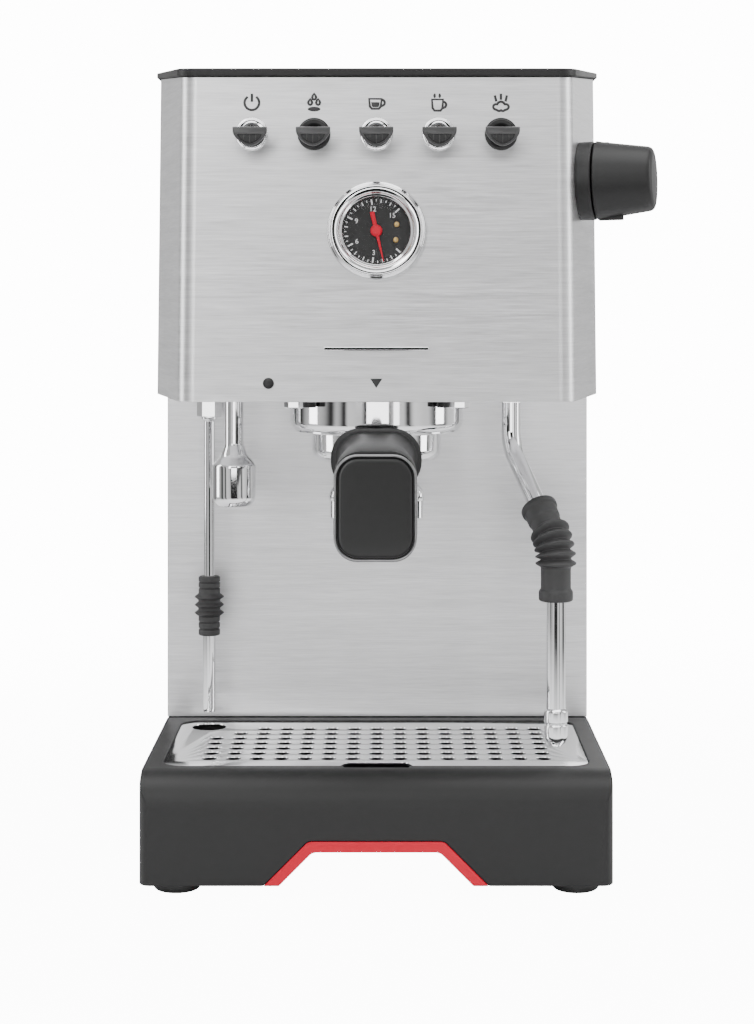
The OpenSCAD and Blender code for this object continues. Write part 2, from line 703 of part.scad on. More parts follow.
module twin_spout() {
    color(CHROME) on_row() translate([0, group_y, 0]) difference() {
        union() {
            translate([0, 0, bowl_z - 19]) cylinder(r = 11, h = 9.8);
            for (s = [-1, 1]) {
                run_between([0, 0, bowl_z - 15], [s * 19, 0, spout_z + 12], 5.6);
                translate([s * 19, 0, spout_z + 12]) sphere(r = 6.6);
                translate([s * 19, 0, spout_z]) cylinder(r = 6, h = 12);
            }
        }
        translate([0, 0, bowl_z - 14]) cylinder(r = 4, h = 30);
        for (s = [-1, 1]) {
            translate([s * 19, 0, spout_z - 1]) cylinder(r = 3.5, h = 12);
            run_between([0, 0, bowl_z - 13], [s * 19, 0, spout_z + 11], 3);
        }
    }
}
module handle_section(y, w, h, r, t) {
    z = handle_end_z + (handle_reach + y) * tan(handle_a);
    translate([0, y, z]) rotate([90 - handle_a, 0, 0]) translate([0, 0, -t / 2]) linear_extrude(t)
        round_rect(w, h, r, $fn = 32);
}
module portafilter_handle() {
    stub_z = handle_end_z + (handle_reach + 22) * tan(handle_a);
    on_row() color(BLACK) difference() {
        union() {
            hull() {
                handle_section(14.5, 40, 28, 12, 1);
                handle_section(6, 46.4, 32, 14, 1);
            }
            hull() {
                handle_section(6, 34, 27, 12, 1);
                handle_section(-32, 31, 37, 12, 1);
            }
            hull() {
                handle_section(-32, 31, 37, 12, 1);
                handle_section(24 - handle_reach, butt_w, butt_h + 3, 13, 1);
            }
            hull() {
                handle_section(24 - handle_reach, butt_w, butt_h + 3, 13, 1);
                handle_section(cap_y - handle_reach + cap_t / 2 + 0.6, butt_w - 1, butt_h - 1, 11, 1);
            }
        }
        run_between([0, group_y - bowl_d / 2 + 3, stub_z], [0, 0, stub_z - 41.5 * tan(handle_a)], stub_r + 0.1);
    }
}
module handle_end_cap() {
    on_row() color([0.25, 0.25, 0.25]) difference() {
        handle_section(cap_y - handle_reach, butt_w, butt_h, 10, cap_t);
        handle_section(cap_y - handle_reach - cap_t + 1.2, butt_w - 6, butt_h - 6, 7.5, cap_t);
    }
}

// ---------- steam ----------
module steam_boiler() {
    color(STEEL) on_row() translate([steam_x, steam_y, head_z + 8]) difference() {
        union() {
            cylinder(r = steam_r, h = 128);
            translate([0, 0, 128]) cylinder(r = 10, h = 6, $fn = 6);
        }
        translate([0, 0, 3]) cylinder(r = steam_r - 2, h = 122);
    }
}
module steam_valve_body() {
    color(BRASS) on_row() difference() {
        union() {
            on_flank() translate([0, 0, -44]) cylinder(r = 9, h = 37);
            span(wand_x - 7, wand_x + 7, knob_y - 2, wand_y + 8, knob_z - 11, knob_z + 8);
            translate([wand_x, wand_y, head_z + 13]) cylinder(r = 7, h = knob_z - head_z - 16);
        }
        on_flank() translate([0, 0, -18]) cylinder(r = spindle_d / 2 + run, h = 30);
        translate([wand_x, wand_y, head_z + 10]) cylinder(r = 3, h = 60);
    }
}
module wand_swivel_nut() {
    color(CHROME) on_row() translate([wand_x, wand_y, 0]) difference() {
        union() {
            translate([0, 0, head_z - 3.4]) cylinder(r = 9, h = 3.4 - fix, $fn = 6);
            translate([0, 0, head_z - 1]) cylinder(r = 7.2, h = 11);
        }
        translate([0, 0, head_z - 20]) cylinder(r = wand_d / 2 + run, h = 60);
    }
}
// Frame of the wand's plane: +X is its direction in plan
module on_wand() { translate([wand_x, wand_y, 0]) rotate([0, 0, wand_dir]) children(); }
module wand_bend(x, z, a0, a, r) {
    translate([x, 0, z]) rotate([90, 0, 0]) rotate([0, 0, a0]) rotate_extrude(angle = a)
        translate([wand_r, 0]) circle(r);
}
module wand_path(r) {
    translate([0, 0, wand_z - lap]) cylinder(r = r, h = head_z + 11 - wand_z + lap);
    wand_bend(wand_r, wand_z, 180, wand_a, r + swell);
    translate([wand_r * (1 - cos(wand_a)), 0, wand_z - wand_r * sin(wand_a)]) rotate([0, 180 - wand_a, 0])
        translate([0, 0, -lap]) cylinder(r = r, h = slant_l + 2 * lap);
    wand_bend(wand_out - wand_r, wand_low, 0, wand_a, r + swell);
    translate([wand_out, 0, wand_tip_z + 20]) cylinder(r = r, h = wand_low - wand_tip_z - 20 + lap);
}
module wand_tube() {
    color(CHROME) on_row() on_wand() wand_path(wand_d / 2);
}
// Grip sections sit on the slanted stretch, round the lower bend and on the straight below it
module wand_grip() {
    r = wand_d / 2;
    s0 = slant_l * 0.66;
    color(RUBBER) on_row() on_wand() difference() {
        union() {
            translate([wand_r * (1 - cos(wand_a)), 0, wand_z - wand_r * sin(wand_a)]) rotate([0, 180 - wand_a, 0])
                translate([0, 0, s0]) {
                    cylinder(r = r + 3, h = slant_l - s0);
                    cylinder(r = r + 3.8, h = 8);
                }
            wand_bend(wand_out - wand_r, wand_low, 0, wand_a, r + 3);
            for (a = [0 : 11 : 44]) translate([wand_out - wand_r, 0, wand_low]) rotate([0, -a, 0])
                translate([wand_r, 0, -0.8]) cylinder(r = r + 5.6, h = 1.6);
            translate([wand_out, 0, wand_low - 19.5]) cylinder(r = r + 2.8, h = 19.5);
            translate([wand_out, 0, wand_low - 19.5]) cylinder(r = r + 3.9, h = 5);
        }
        wand_path(r);
    }
}
module wand_tip() {
    color(CHROME) on_row() on_wand() translate([wand_out, 0, wand_tip_z]) difference() {
        union() {
            cylinder(r1 = 4.6, r2 = 6.2, h = 4);
            translate([0, 0, 4]) cylinder(r = 6.2, h = 15.8);
        }
        for (a = [45 : 90 : 315]) rotate([0, 0, a]) translate([0, 0, 6]) rotate([0, 125, 0])
            cylinder(r = 0.8, h = 12);
    }
}

// ---------- water ----------
module hot_water_nozzle() {
    r = nozzle_d / 2;
    color(CHROME) on_row() translate([-nozzle_x, wand_y, 0]) difference() {
        union() {
            translate([0, 0, head_z - 26]) cylinder(r = 5, h = 36);
            translate([0, 0, head_z - 37.5]) cylinder(r1 = r, r2 = 6, h = 12);
            translate([0, 0, head_z - 54.5]) cylinder(r = r, h = 17);
            translate([0, 0, head_z - 59.5]) rotate_extrude() {
                square([r - 5, 5]);
                translate([r - 5, 5]) intersection() {
                    circle(5);
                    translate([0, -5]) square(5);
                }
            }
        }
        translate([0, 0, head_z - 70]) cylinder(r = 6, h = 16);
        translate([0, 0, head_z - 60]) cylinder(r = 2.5, h = 80);
    }
}
module discharge_tube() {
    color(CHROME) on_row() translate([-drain_x, drain_y, 0]) {
        difference() {
            union() {
                translate([0, 0, head_z - 14.5]) cylinder(r = 6.9, h = 14.3, $fn = 6);
                translate([0, 0, 138]) cylinder(r = 3, h = head_z + 1.6 - 138);
            }
            translate([0, 0, 130]) cylinder(r = 1.8, h = 150);
        }
        translate([0, 0, wand_tip_z]) ring(3.5, 2.6, 121 - wand_tip_z);
    }
}
module discharge_joint() {
    color(RUBBER) on_row() translate([-drain_x, drain_y, 0]) difference() {
        union() {
            translate([0, 0, 113]) cylinder(r = 6, h = 33);
            for (z = [125.5, 130, 134.5]) {
                translate([0, 0, z - 1.7]) cylinder(r1 = 6, r2 = 8.3, h = 1.7);
                translate([0, 0, z]) cylinder(r1 = 8.3, r2 = 6, h = 1.7);
            }
        }
        translate([0, 0, 110]) cylinder(r = 3.5, h = 11);
        translate([0, 0, 115]) cylinder(r = 2, h = 25);
        translate([0, 0, 138]) cylinder(r = 3, h = 20);
    }
}
module solenoid_valve() {
    color([0.2, 0.2, 0.22]) on_row() translate([-drain_x, drain_y, head_z + 1.7]) {
        plate(24, 24, 14, 2);
        translate([0, 0, 14]) plate(22, 22, 26, 3);
        translate([0, 0, 40]) cylinder(r = 6, h = 5);
    }
}
module pump() {
    color([0.7, 0.7, 0.68]) on_row() translate([pump_x, pump_y, pump_z]) rotate([0, 90, 0]) {
        translate([0, 0, -pump_l / 2]) cylinder(r = pump_r - 6, h = pump_l);
        translate([0, 0, -16]) cylinder(r = pump_r, h = 32);
        for (s = [-1, 1]) translate([0, 0, s * (pump_l / 2 + 4) - 4]) cylinder(r = 4, h = 8);
    }
}
module pump_mounts() {
    color(RUBBER) on_row() for (s = [-1, 1]) difference() {
        span(pump_x + s * 22 - 4, pump_x + s * 22 + 4, pump_y - 12, pump_y + 12, base_h, pump_z);
        translate([pump_x, pump_y, pump_z]) rotate([0, 90, 0]) translate([0, 0, -50])
            cylinder(r = pump_r - 6, h = 100);
    }
}
module water_pipes() {
    end = pump_l / 2 + 8;
    color([0.72, 0.45, 0.3]) on_row() {
        pipe([[0, tank_y + 30, shelf_z - 7], [0, tank_y + 30, pump_z], [0, pump_y, pump_z],
            [pump_x + end, pump_y, pump_z]], 3.5);
        pipe([[pump_x - end, pump_y, pump_z], [riser_x, pump_y, pump_z], [riser_x, pump_y, cap_z + 30],
            [-12, pump_y, cap_z + 30], [-12, group_y + 12, cap_z + 30], [-12, group_y + 12, cap_z + 6]], 3);
        pipe([[steam_x, steam_y, head_z + 142], [steam_x, steam_y, head_z + 151], [wand_x, steam_y, head_z + 151],
            [wand_x, wand_y + 24, head_z + 151], [wand_x, wand_y + 24, knob_z], [wand_x, wand_y + 8, knob_z]], 3);
    }
}
module control_board() {
    y0 = splash_y + 18;
    color([0.1, 0.35, 0.2]) on_row() {
        span(half - 14, half - 12, y0, y0 + 44, base_h + 20, head_z - 20);
        span(half - 30, half - 14, y0 + 6, y0 + 22, base_h + 40, base_h + 58);
        span(half - 34, half - 14, y0 + 8, y0 + 34, base_h + 80, base_h + 100);
        for (i = [0 : 3])
            span(half - 22, half - 14, y0 + 4 + i * 10, y0 + 10 + i * 10, head_z - 50, head_z - 38);
        for (z = [base_h + 24, head_z - 26]) span(half - 12, half - sheet - fix, y0 + 18, y0 + 26, z, z + 4);
    }
}
module power_inlet() {
    color([0.12, 0.12, 0.12]) on_row() translate([70, body_d, base_h + 28]) {
        difference() {
            union() {
                translate([0, 2, 0]) rotate([90, 0, 0]) plate(36, 28, 1.8, 3);
                translate([0, 0.3, 0]) rotate([90, 0, 0]) plate(28, 20, 20, 3);
            }
            translate([0, 3, 0]) rotate([90, 0, 0]) plate(23, 15.5, 17, 2);
        }
        for (p = [[-7, -2.7], [0, 0.3], [7, -2.7]]) span(p[0] - 1, p[0] + 1, -16, -8, p[1] - 2, p[1] + 2);
    }
}
module tank_shelf() {
    color(BLACK) on_row() difference() {
        union() {
            span(sheet + fix - half, half - sheet - fix, tank_y - 2, body_d - sheet - fix, shelf_z - 4, shelf_z);
            translate([0, tank_y + 30, shelf_z - 7]) cylinder(r = 14, h = 6);
        }
        translate([0, tank_y + 30, shelf_z - 5]) cylinder(r = 9, h = 20);
    }
}

// ---------- tank ----------
// The lid turns on a pin through its rear barrel and the tank's two ears
module lid_bore(r) { translate([-90, pin_y, pin_z]) rotate([0, 90, 0]) cylinder(r = r, h = 180); }
module tank_ears() {
    for (s = [-1, 1]) difference() {
        union() {
            span(s * ear_x - ear_w / 2, s * ear_x + ear_w / 2, pin_y - barrel_r, pin_y + barrel_r,
                tank_top - 12, pin_z);
            translate([s * ear_x - ear_w / 2, pin_y, pin_z]) rotate([0, 90, 0])
                cylinder(r = barrel_r, h = ear_w);
        }
        lid_bore(pin_r);
    }
}
module water_tank() {
    mid = tank_y + tank_d / 2;
    on_row() color([0.75, 0.8, 0.85, 0.5]) difference() {
        union() {
            translate([0, mid, shelf_z + gap]) plate(tank_w, tank_d, tank_top - shelf_z - gap, 8);
            translate([0, tank_y + 30, shelf_z - 4.5]) cylinder(r = 8.6, h = 8);
        }
        translate([0, mid, shelf_z + gap + tank_wall]) plate(tank_w - 2 * tank_wall, tank_d - 2 * tank_wall,
            tank_top, 6);
        translate([0, tank_y + 30, shelf_z - 10]) cylinder(r = 3, h = 20);
    }
    on_row() color([0.75, 0.8, 0.85, 0.5]) tank_ears();
}
module tank_lid() {
    on_row() color(BLACK) difference() {
        union() {
            span(-tank_w / 2 - 1.8, tank_w / 2 + 1.8, tank_y - 1.7, pin_y, lid_top - lid_t, lid_top);
            translate([-tank_w / 2 - 1.8, pin_y, pin_z]) rotate([0, 90, 0])
                cylinder(r = barrel_r, h = tank_w + 3.6);
        }
        for (s = [-1, 1]) span(s * ear_x - ear_w / 2 - 0.5, s * ear_x + ear_w / 2 + 0.5, pin_y - barrel_r - 2,
            pin_y + 9, pin_z - 5, lid_top + 1);
        lid_bore(pin_r + run);
        translate([0, tank_y + 10, lid_top]) rotate([0, 90, 0]) translate([0, 0, -22])
            cylinder(r = 2.4, h = 44);
    }
}
module tank_lid_pin() {
    on_row() color(STEEL) translate([-ear_x - 6, pin_y, pin_z]) rotate([0, 90, 0])
        cylinder(r = pin_r, h = 2 * ear_x + 12);
}

base_chassis();
rubber_feet();
splash_panel();
side_panel_left();
side_panel_right();
rear_panel();
head_front_panel();
head_underside_plate();
top_frame();
cup_warmer_plate();
toggle_bezels_chrome();
toggle_bezels_black();
toggle_switch_bodies();
gauge_bezel();
gauge_case();
gauge_dial();
gauge_lens();
indicator_lamp();
group_head();
group_gasket();
shower_screen();
group_bolts();
brew_boiler();
boiler_cap();
steam_boiler();
steam_valve_body();
knob_collar();
wand_swivel_nut();
pump();
pump_mounts();
solenoid_valve();
discharge_tube();
discharge_joint();
hot_water_nozzle();
water_pipes();
control_board();
power_inlet();
tank_shelf();
gauge_needle();
toggle_lever_1();
toggle_lever_2();
toggle_lever_3();
toggle_lever_4();
toggle_lever_5();
steam_knob();
steam_valve_spindle();
wand_tube();
wand_grip();
wand_tip();
portafilter_bowl();
filter_basket();
twin_spout();
portafilter_handle();
handle_end_cap();
drip_tray();
grip_trim();
drip_grille();
water_tank();
tank_lid();
tank_lid_pin();
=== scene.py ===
"""Looks of the counter-top espresso machine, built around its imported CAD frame.

Lengths are in millimetres in the machine's own frame (X = 0 on its centre plane, Y = 0 at the front of its
base, Z = 0 on the counter) and at() turns them into metres in the row frame.
"""
import json
import math

import bmesh
import bpy
from mathutils import Matrix, Vector


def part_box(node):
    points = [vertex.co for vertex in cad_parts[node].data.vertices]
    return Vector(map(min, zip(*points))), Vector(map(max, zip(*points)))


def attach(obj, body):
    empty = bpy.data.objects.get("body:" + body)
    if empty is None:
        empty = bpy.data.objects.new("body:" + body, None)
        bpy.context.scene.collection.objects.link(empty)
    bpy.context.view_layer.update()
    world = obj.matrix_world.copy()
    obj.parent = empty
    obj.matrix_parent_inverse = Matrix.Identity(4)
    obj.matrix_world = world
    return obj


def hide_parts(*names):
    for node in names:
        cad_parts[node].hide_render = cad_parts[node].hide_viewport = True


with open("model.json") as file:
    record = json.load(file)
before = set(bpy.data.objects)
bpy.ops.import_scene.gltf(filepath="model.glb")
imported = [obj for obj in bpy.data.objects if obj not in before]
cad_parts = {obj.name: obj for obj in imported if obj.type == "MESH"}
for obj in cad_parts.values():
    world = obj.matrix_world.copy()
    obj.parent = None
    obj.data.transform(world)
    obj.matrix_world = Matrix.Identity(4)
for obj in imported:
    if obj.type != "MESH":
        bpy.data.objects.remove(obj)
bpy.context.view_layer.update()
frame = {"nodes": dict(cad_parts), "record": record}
NODES = frame["nodes"]
SLOT_OF = {part["node"]: part["material_slot"] for part in frame["record"]["subparts"]}
SLOTS = {entry["slot"] for entry in frame["record"]["materials"]}
BODY_OF = {node: body for body, members in frame["record"]["behaviour"]["bodies"].items() for node in members}

MM = 0.001
CENTRE_X = sum(corner.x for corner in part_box("splash_panel")) / 2
FRONT_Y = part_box("drip_tray")[0].y
SPLASH_Y = (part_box("splash_panel")[0].y - FRONT_Y) / MM
HEAD_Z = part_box("head_underside_plate")[0].z / MM
REAR_Y = (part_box("rear_panel")[1].y - FRONT_Y) / MM

# Body and head
BODY_HALF = 120.0
HEAD_Y = 12.0
LEAN = math.radians(6.13)
FRONT_HALF = 92.5
BEND_R = 10.0
FLANK_A = math.radians(13.9)
TOGGLE_Z, TOGGLE_PITCH, TOGGLE_REST = 387.0, 32.2, math.radians(12)
GAUGE_Z = 337.0
KNOB_X, KNOB_Z, COLLAR_L, KNOB_L = 108.0, 364.0, 8.0, 31.0
# Group, handle, wand and outlets
GROUP_Y = 72.0
HANDLE_A, HANDLE_REACH, HANDLE_END_Z = math.radians(8), 98.0, 206.0
WAND_X, WAND_Y, WAND_Z, WAND_R = 72.4, 77.0, 231.3, 22.0
WAND_A, WAND_OUT, WAND_TIP_Z, WAND_DIR = math.radians(46), 49.5, 70.0, math.radians(-65.3)
NOZZLE_X = -77.0
DRAIN_X, DRAIN_Y = -94.0, SPLASH_Y - 25.0


def at(x, y, z):
    return Vector((CENTRE_X + x * MM, FRONT_Y + y * MM, z * MM))


def place(x, y, z, *turns):
    """Matrix from local millimetres to the row frame: turns are (angle, axis), the outermost first."""
    matrix = Matrix.Translation(at(x, y, z))
    for angle, axis in turns:
        matrix = matrix @ Matrix.Rotation(angle, 4, axis)
    return matrix @ Matrix.Scale(MM, 4)


def panel_y(z):
    return HEAD_Y + (z - HEAD_Z) * math.tan(LEAN)


def on_panel(x, z, *turns):
    """The leaning front panel: +X right, +Z up, -Y out of it."""
    return place(x, panel_y(z), z, (-LEAN, "X"), *turns)


def out_of_panel(x, z):
    """The same, with +Z out of the panel, for turned pieces."""
    return on_panel(x, z, (math.pi / 2, "X"))


def out_of_flank():
    """The slanted flank at the knob, with +Z out of it."""
    y = panel_y(KNOB_Z) + (KNOB_X - FRONT_HALF - BEND_R * math.cos(FLANK_A)) / math.tan(FLANK_A)
    y += BEND_R * (1 - math.sin(FLANK_A))
    return place(KNOB_X, y, KNOB_Z, (-LEAN, "X"), (-FLANK_A, "Z"), (math.pi / 2, "Y"))


# ---------- materials ----------
# Noise gathers about its middle, within this much on either side
NOISE_MIDDLE, NOISE_SPREAD = 0.5, 0.25


class Graph:
    """Short hand for a material's or the world's node tree."""

    def __init__(self, tree):
        self.tree = tree

    def node(self, kind, **values):
        made = self.tree.nodes.new(kind)
        for key, value in values.items():
            if hasattr(made, key):
                setattr(made, key, value)
            else:
                made.inputs[key.replace("_", " ")].default_value = value
        return made

    def link(self, source, target):
        self.tree.links.new(source, target)

    def noise(self, stretch, detail=3.0, rough=0.6, turn=(0, 0, 0)):
        """Noise in the object's own coordinates; stretch is its scale per metre along X, Y and Z."""
        coordinates = self.node("ShaderNodeTexCoord")
        mapping = self.node("ShaderNodeMapping")
        mapping.inputs["Scale"].default_value = stretch
        mapping.inputs["Rotation"].default_value = turn
        noise = self.node("ShaderNodeTexNoise", Scale=1.0, Detail=detail, Roughness=rough)
        self.link(coordinates.outputs["Object"], mapping.inputs["Vector"])
        self.link(mapping.outputs["Vector"], noise.inputs["Vector"])
        return noise.outputs["Fac"]

    def remap(self, value, low, high, contrast=1.0):
        """Spreads noise over the range from low to high."""
        spread = NOISE_SPREAD / contrast
        made = self.node("ShaderNodeMapRange")
        made.clamp = True
        for name, number in (("From Min", NOISE_MIDDLE - spread), ("From Max", NOISE_MIDDLE + spread),
                             ("To Min", low), ("To Max", high)):
            made.inputs[name].default_value = number
        self.link(value, made.inputs["Value"])
        return made.outputs["Result"]

    def blend(self, factor, low, high):
        made = self.node("ShaderNodeMix", data_type="RGBA")
        made.inputs[6].default_value = (*low, 1)
        made.inputs[7].default_value = (*high, 1)
        self.link(factor, made.inputs[0])
        return made.outputs[2]

    def bump(self, height, strength, distance):
        made = self.node("ShaderNodeBump", Strength=strength, Distance=distance)
        self.link(height, made.inputs["Height"])
        return made.outputs["Normal"]


def surface(name, low, high, rough, fine, broad=(25, 25, 25), metal=0.0, bump=(0.1, 0.0001), turn=(0, 0, 0),
            **sockets):
    """A finish whose colour runs from low to high in patches, with grain in roughness and height."""
    material = bpy.data.materials.new(name)
    material.use_nodes = True
    graph = Graph(material.node_tree)
    shader = material.node_tree.nodes["Principled BSDF"]
    shader.inputs["Metallic"].default_value = metal
    grain = graph.noise(fine, turn=turn)
    patches = graph.noise(broad, turn=turn)
    both = graph.node("ShaderNodeMath", operation="MULTIPLY_ADD")
    both.inputs[1].default_value = 0.55
    graph.link(grain, both.inputs[0])
    scaled = graph.node("ShaderNodeMath", operation="MULTIPLY")
    scaled.inputs[1].default_value = 0.45
    graph.link(patches, scaled.inputs[0])
    graph.link(scaled.outputs[0], both.inputs[2])
    graph.link(graph.blend(graph.remap(both.outputs[0], 0, 1), low, high), shader.inputs["Base Color"])
    graph.link(graph.remap(both.outputs[0], *rough), shader.inputs["Roughness"])
    graph.link(graph.bump(grain, *bump), shader.inputs["Normal"])
    for key, value in sockets.items():
        shader.inputs[key.replace("_", " ")].default_value = value
    return material


def grey(value):
    return (value, value, value * 1.01)


ALONG_X = (60, 60, 1500)
MATERIALS = {
    "brushed_steel": surface("brushed_steel", grey(0.56), grey(0.84), (0.30, 0.42), ALONG_X,
                             (14, 14, 420), 1.0, (0.12, 0.00008), Anisotropic=0.3),
    "plain_steel": surface("plain_steel", grey(0.80), grey(0.90), (0.13, 0.19), (900, 900, 900),
                           (20, 20, 20), 1.0, (0.05, 0.00005)),
    "polished_chrome": surface("polished_chrome", grey(0.80), grey(0.88), (0.045, 0.09), (220, 220, 220),
                               (30, 30, 30), 1.0, (0.02, 0.0001)),
    "black_plastic": surface("black_plastic", grey(0.008), grey(0.011), (0.42, 0.52), (2600, 2600, 2600),
                             (40, 40, 40), 0.0, (0.12, 0.00006), Specular_IOR_Level=0.36),
    "glossy_black": surface("glossy_black", grey(0.006), grey(0.008), (0.30, 0.34), (2600, 2600, 2600),
                            (300, 300, 300), 0.0, (0.02, 0.00002), Specular_IOR_Level=0.4),
    "rubber": surface("rubber", grey(0.018), grey(0.026), (0.50, 0.64), (3000, 3000, 3000), (90, 90, 90), 0.0,
                      (0.2, 0.00008)),
    "brass": surface("brass", (0.55, 0.37, 0.14), (0.70, 0.50, 0.22), (0.26, 0.40), (500, 500, 500),
                     (40, 40, 40), 1.0, (0.08, 0.0001)),
    "copper_pipe": surface("copper_pipe", (0.58, 0.25, 0.14), (0.72, 0.36, 0.22), (0.24, 0.38),
                           (300, 300, 900), (30, 30, 30), 1.0, (0.06, 0.0001)),
    "dial_face": surface("dial_face", grey(0.009), grey(0.013), (0.55, 0.65), (3000, 3000, 3000),
                         (120, 120, 120), 0.0, (0.08, 0.00004)),
    "clear_glass": surface("clear_glass", grey(0.02), grey(0.03), (0.02, 0.05), (200, 200, 200),
                           (30, 30, 30), 0.0, (0.005, 0.00001), Alpha=0.06),
    "lever_black": surface("lever_black", grey(0.030), grey(0.040), (0.30, 0.36), (2600, 2600, 2600),
                           (300, 300, 300), 0.0, (0.03, 0.00003), Coat_Weight=0.2, Coat_Roughness=0.2),
    "red_plastic": surface("red_plastic", (0.56, 0.003, 0.022), (0.64, 0.005, 0.03), (0.42, 0.52),
                           (2200, 2200, 2200), (60, 60, 60), 0.0, (0.08, 0.00005), Specular_IOR_Level=0.25),
    "tank_plastic": surface("tank_plastic", (0.55, 0.60, 0.64), (0.66, 0.71, 0.75), (0.10, 0.18),
                            (700, 700, 700), (20, 20, 20), 0.0, (0.03, 0.0001),
                            Transmission_Weight=0.85, IOR=1.2),
    "circuit_board": surface("circuit_board", (0.008, 0.07, 0.025), (0.015, 0.12, 0.045), (0.35, 0.5),
                             (500, 500, 500), (150, 150, 150), 0.0, (0.1, 0.0001)),
    "pump_body": surface("pump_body", grey(0.45), grey(0.58), (0.35, 0.5), (900, 900, 900), (60, 60, 60), 1.0,
                         (0.1, 0.0001)),
    "white_ink": surface("white_ink", grey(0.74), grey(0.82), (0.5, 0.6), (2500, 2500, 2500),
                         (300, 300, 300), 0.0, (0.05, 0.00003)),
    # Black print; it is also laid on the floor of the lever recesses as painted shade
    "black_ink": surface("black_ink", grey(0.010), grey(0.016), (0.4, 0.5), (2500, 2500, 2500),
                         (300, 300, 300), 0.0, (0.05, 0.00003)),
    # A lighter metallic grey that paints the highlight on the rim of the handle's end cap
    "cap_trim": surface("cap_trim", grey(0.16), grey(0.22), (0.28, 0.36), (1200, 1200, 1200),
                        (90, 90, 90), 1.0, (0.05, 0.00004)),
    # Dark steel for the cap screws; it also fills the tip's jet holes as painted shade
    "dark_steel": surface("dark_steel", grey(0.03), grey(0.06), (0.35, 0.5), (900, 900, 900),
                          (90, 90, 90), 1.0, (0.1, 0.00008)),
}


# ---------- mesh helpers ----------
def rounded(corners, steps=5):
    """Outline through (u, v, radius) corners, with each corner rounded off."""
    outline = []
    for i, (u, v, radius) in enumerate(corners):
        corner = Vector((u, v))
        if radius == 0 or i in (0, len(corners) - 1):
            outline.append(corner)
            continue
        back = Vector(corners[i - 1][:2]) - corner
        ahead = Vector(corners[i + 1][:2]) - corner
        start = corner + back.normalized() * min(radius, back.length * 0.5)
        end = corner + ahead.normalized() * min(radius, ahead.length * 0.5)
        for k in range(steps + 1):
            t = k / steps
            outline.append(start * (1 - t) ** 2 + corner * 2 * t * (1 - t) + end * t ** 2)
    return outline


def rings_to_faces(bm, rings, loop=False):
    """Joins rings with quads, a ring of one vertex being a pole; without loop the ends are capped."""
    pairs = list(zip(rings, rings[1:]))
    if loop:
        pairs.append((rings[-1], rings[0]))
    for a, b in pairs:
        count = max(len(a), len(b))
        for i in range(count):
            j = (i + 1) % count
            corners = [a[i % len(a)], a[j % len(a)], b[j % len(b)], b[i % len(b)]]
            unique = list(dict.fromkeys(corners))
            if len(unique) > 2:
                bm.faces.new(unique)
    if not loop:
        for ring in (rings[0], rings[-1]):
            if len(ring) > 2:
                bm.faces.new(ring)


def lathe(bm, outline, matrix, segments=72, loop=False):
    """Turns an outline of (radius, height) about the local Z axis."""
    rings = []
    for radius, height in outline:
        if radius < 1e-6:
            rings.append([bm.verts.new(matrix @ Vector((0, 0, height)))])
            continue
        angles = [2 * math.pi * k / segments for k in range(segments)]
        rings.append([bm.verts.new(matrix @ Vector((radius * math.cos(a), radius * math.sin(a), height)))
                      for a in angles])
    rings_to_faces(bm, rings, loop)


def loft(bm, rings, matrix, loop=False):
    """Joins rings of local points."""
    rings_to_faces(bm, [[bm.verts.new(matrix @ Vector(point)) for point in ring] for ring in rings],
                   loop=loop)


def rect_ring(width, height, radius, steps=8):
    """Points of a rounded rectangle, anticlockwise from its right side."""
    points = []
    for k, (sx, sy) in enumerate(((1, 1), (-1, 1), (-1, -1), (1, -1))):
        for i in range(steps + 1):
            angle = math.pi / 2 * (k + i / steps)
            points.append((sx * (width / 2 - radius) + radius * math.cos(angle),
                           sy * (height / 2 - radius) + radius * math.sin(angle)))
    return points


def block(bm, size, centre, matrix):
    """A plain box, for pieces that are bevelled afterwards."""
    half = Vector(size) / 2
    corners = [Vector((sx * half.x, sy * half.y, sz * half.z)) + Vector(centre)
               for sz in (-1, 1) for sx, sy in ((-1, -1), (1, -1), (1, 1), (-1, 1))]
    verts = [bm.verts.new(matrix @ corner) for corner in corners]
    for face in ((3, 2, 1, 0), (4, 5, 6, 7), (0, 1, 5, 4), (1, 2, 6, 5), (2, 3, 7, 6), (3, 0, 4, 7)):
        bm.faces.new([verts[i] for i in face])


def hexagon(bm, across, z0, z1, matrix, chamfer=0.6):
    """A hexagonal bar with chamfered ends."""
    radius = across / math.sqrt(3)
    levels = ((radius - chamfer, z0), (radius, z0 + chamfer), (radius, z1 - chamfer), (radius - chamfer, z1))
    loft(bm, [[(r * math.cos(math.pi / 3 * k), r * math.sin(math.pi / 3 * k), z) for k in range(6)]
              for r, z in levels], matrix)


def keep(obj, body, slot, *nodes):
    """Finishes a piece: the body it rides on, and the CAD nodes that it stands for, which it hides; its slot is
    not used.
    """
    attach(obj, body)
    if nodes:
        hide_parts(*nodes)
    return obj


def shaded(obj, bevel=0.0, segments=2, angle=32.0):
    """Smooth shading, with an optional bevel on the sharp edges."""
    mesh = obj.data
    mesh.polygons.foreach_set("use_smooth", [True] * len(mesh.polygons))
    if bevel:
        modifier = obj.modifiers.new("bevel", "BEVEL")
        modifier.width, modifier.segments = bevel * MM, segments
        modifier.limit_method, modifier.angle_limit = "ANGLE", math.radians(angle)
        modifier.use_clamp_overlap = False
        obj.modifiers.new("normals", "WEIGHTED_NORMAL").keep_sharp = True
    else:
        mesh.set_sharp_from_angle(angle=math.radians(angle))
    return obj


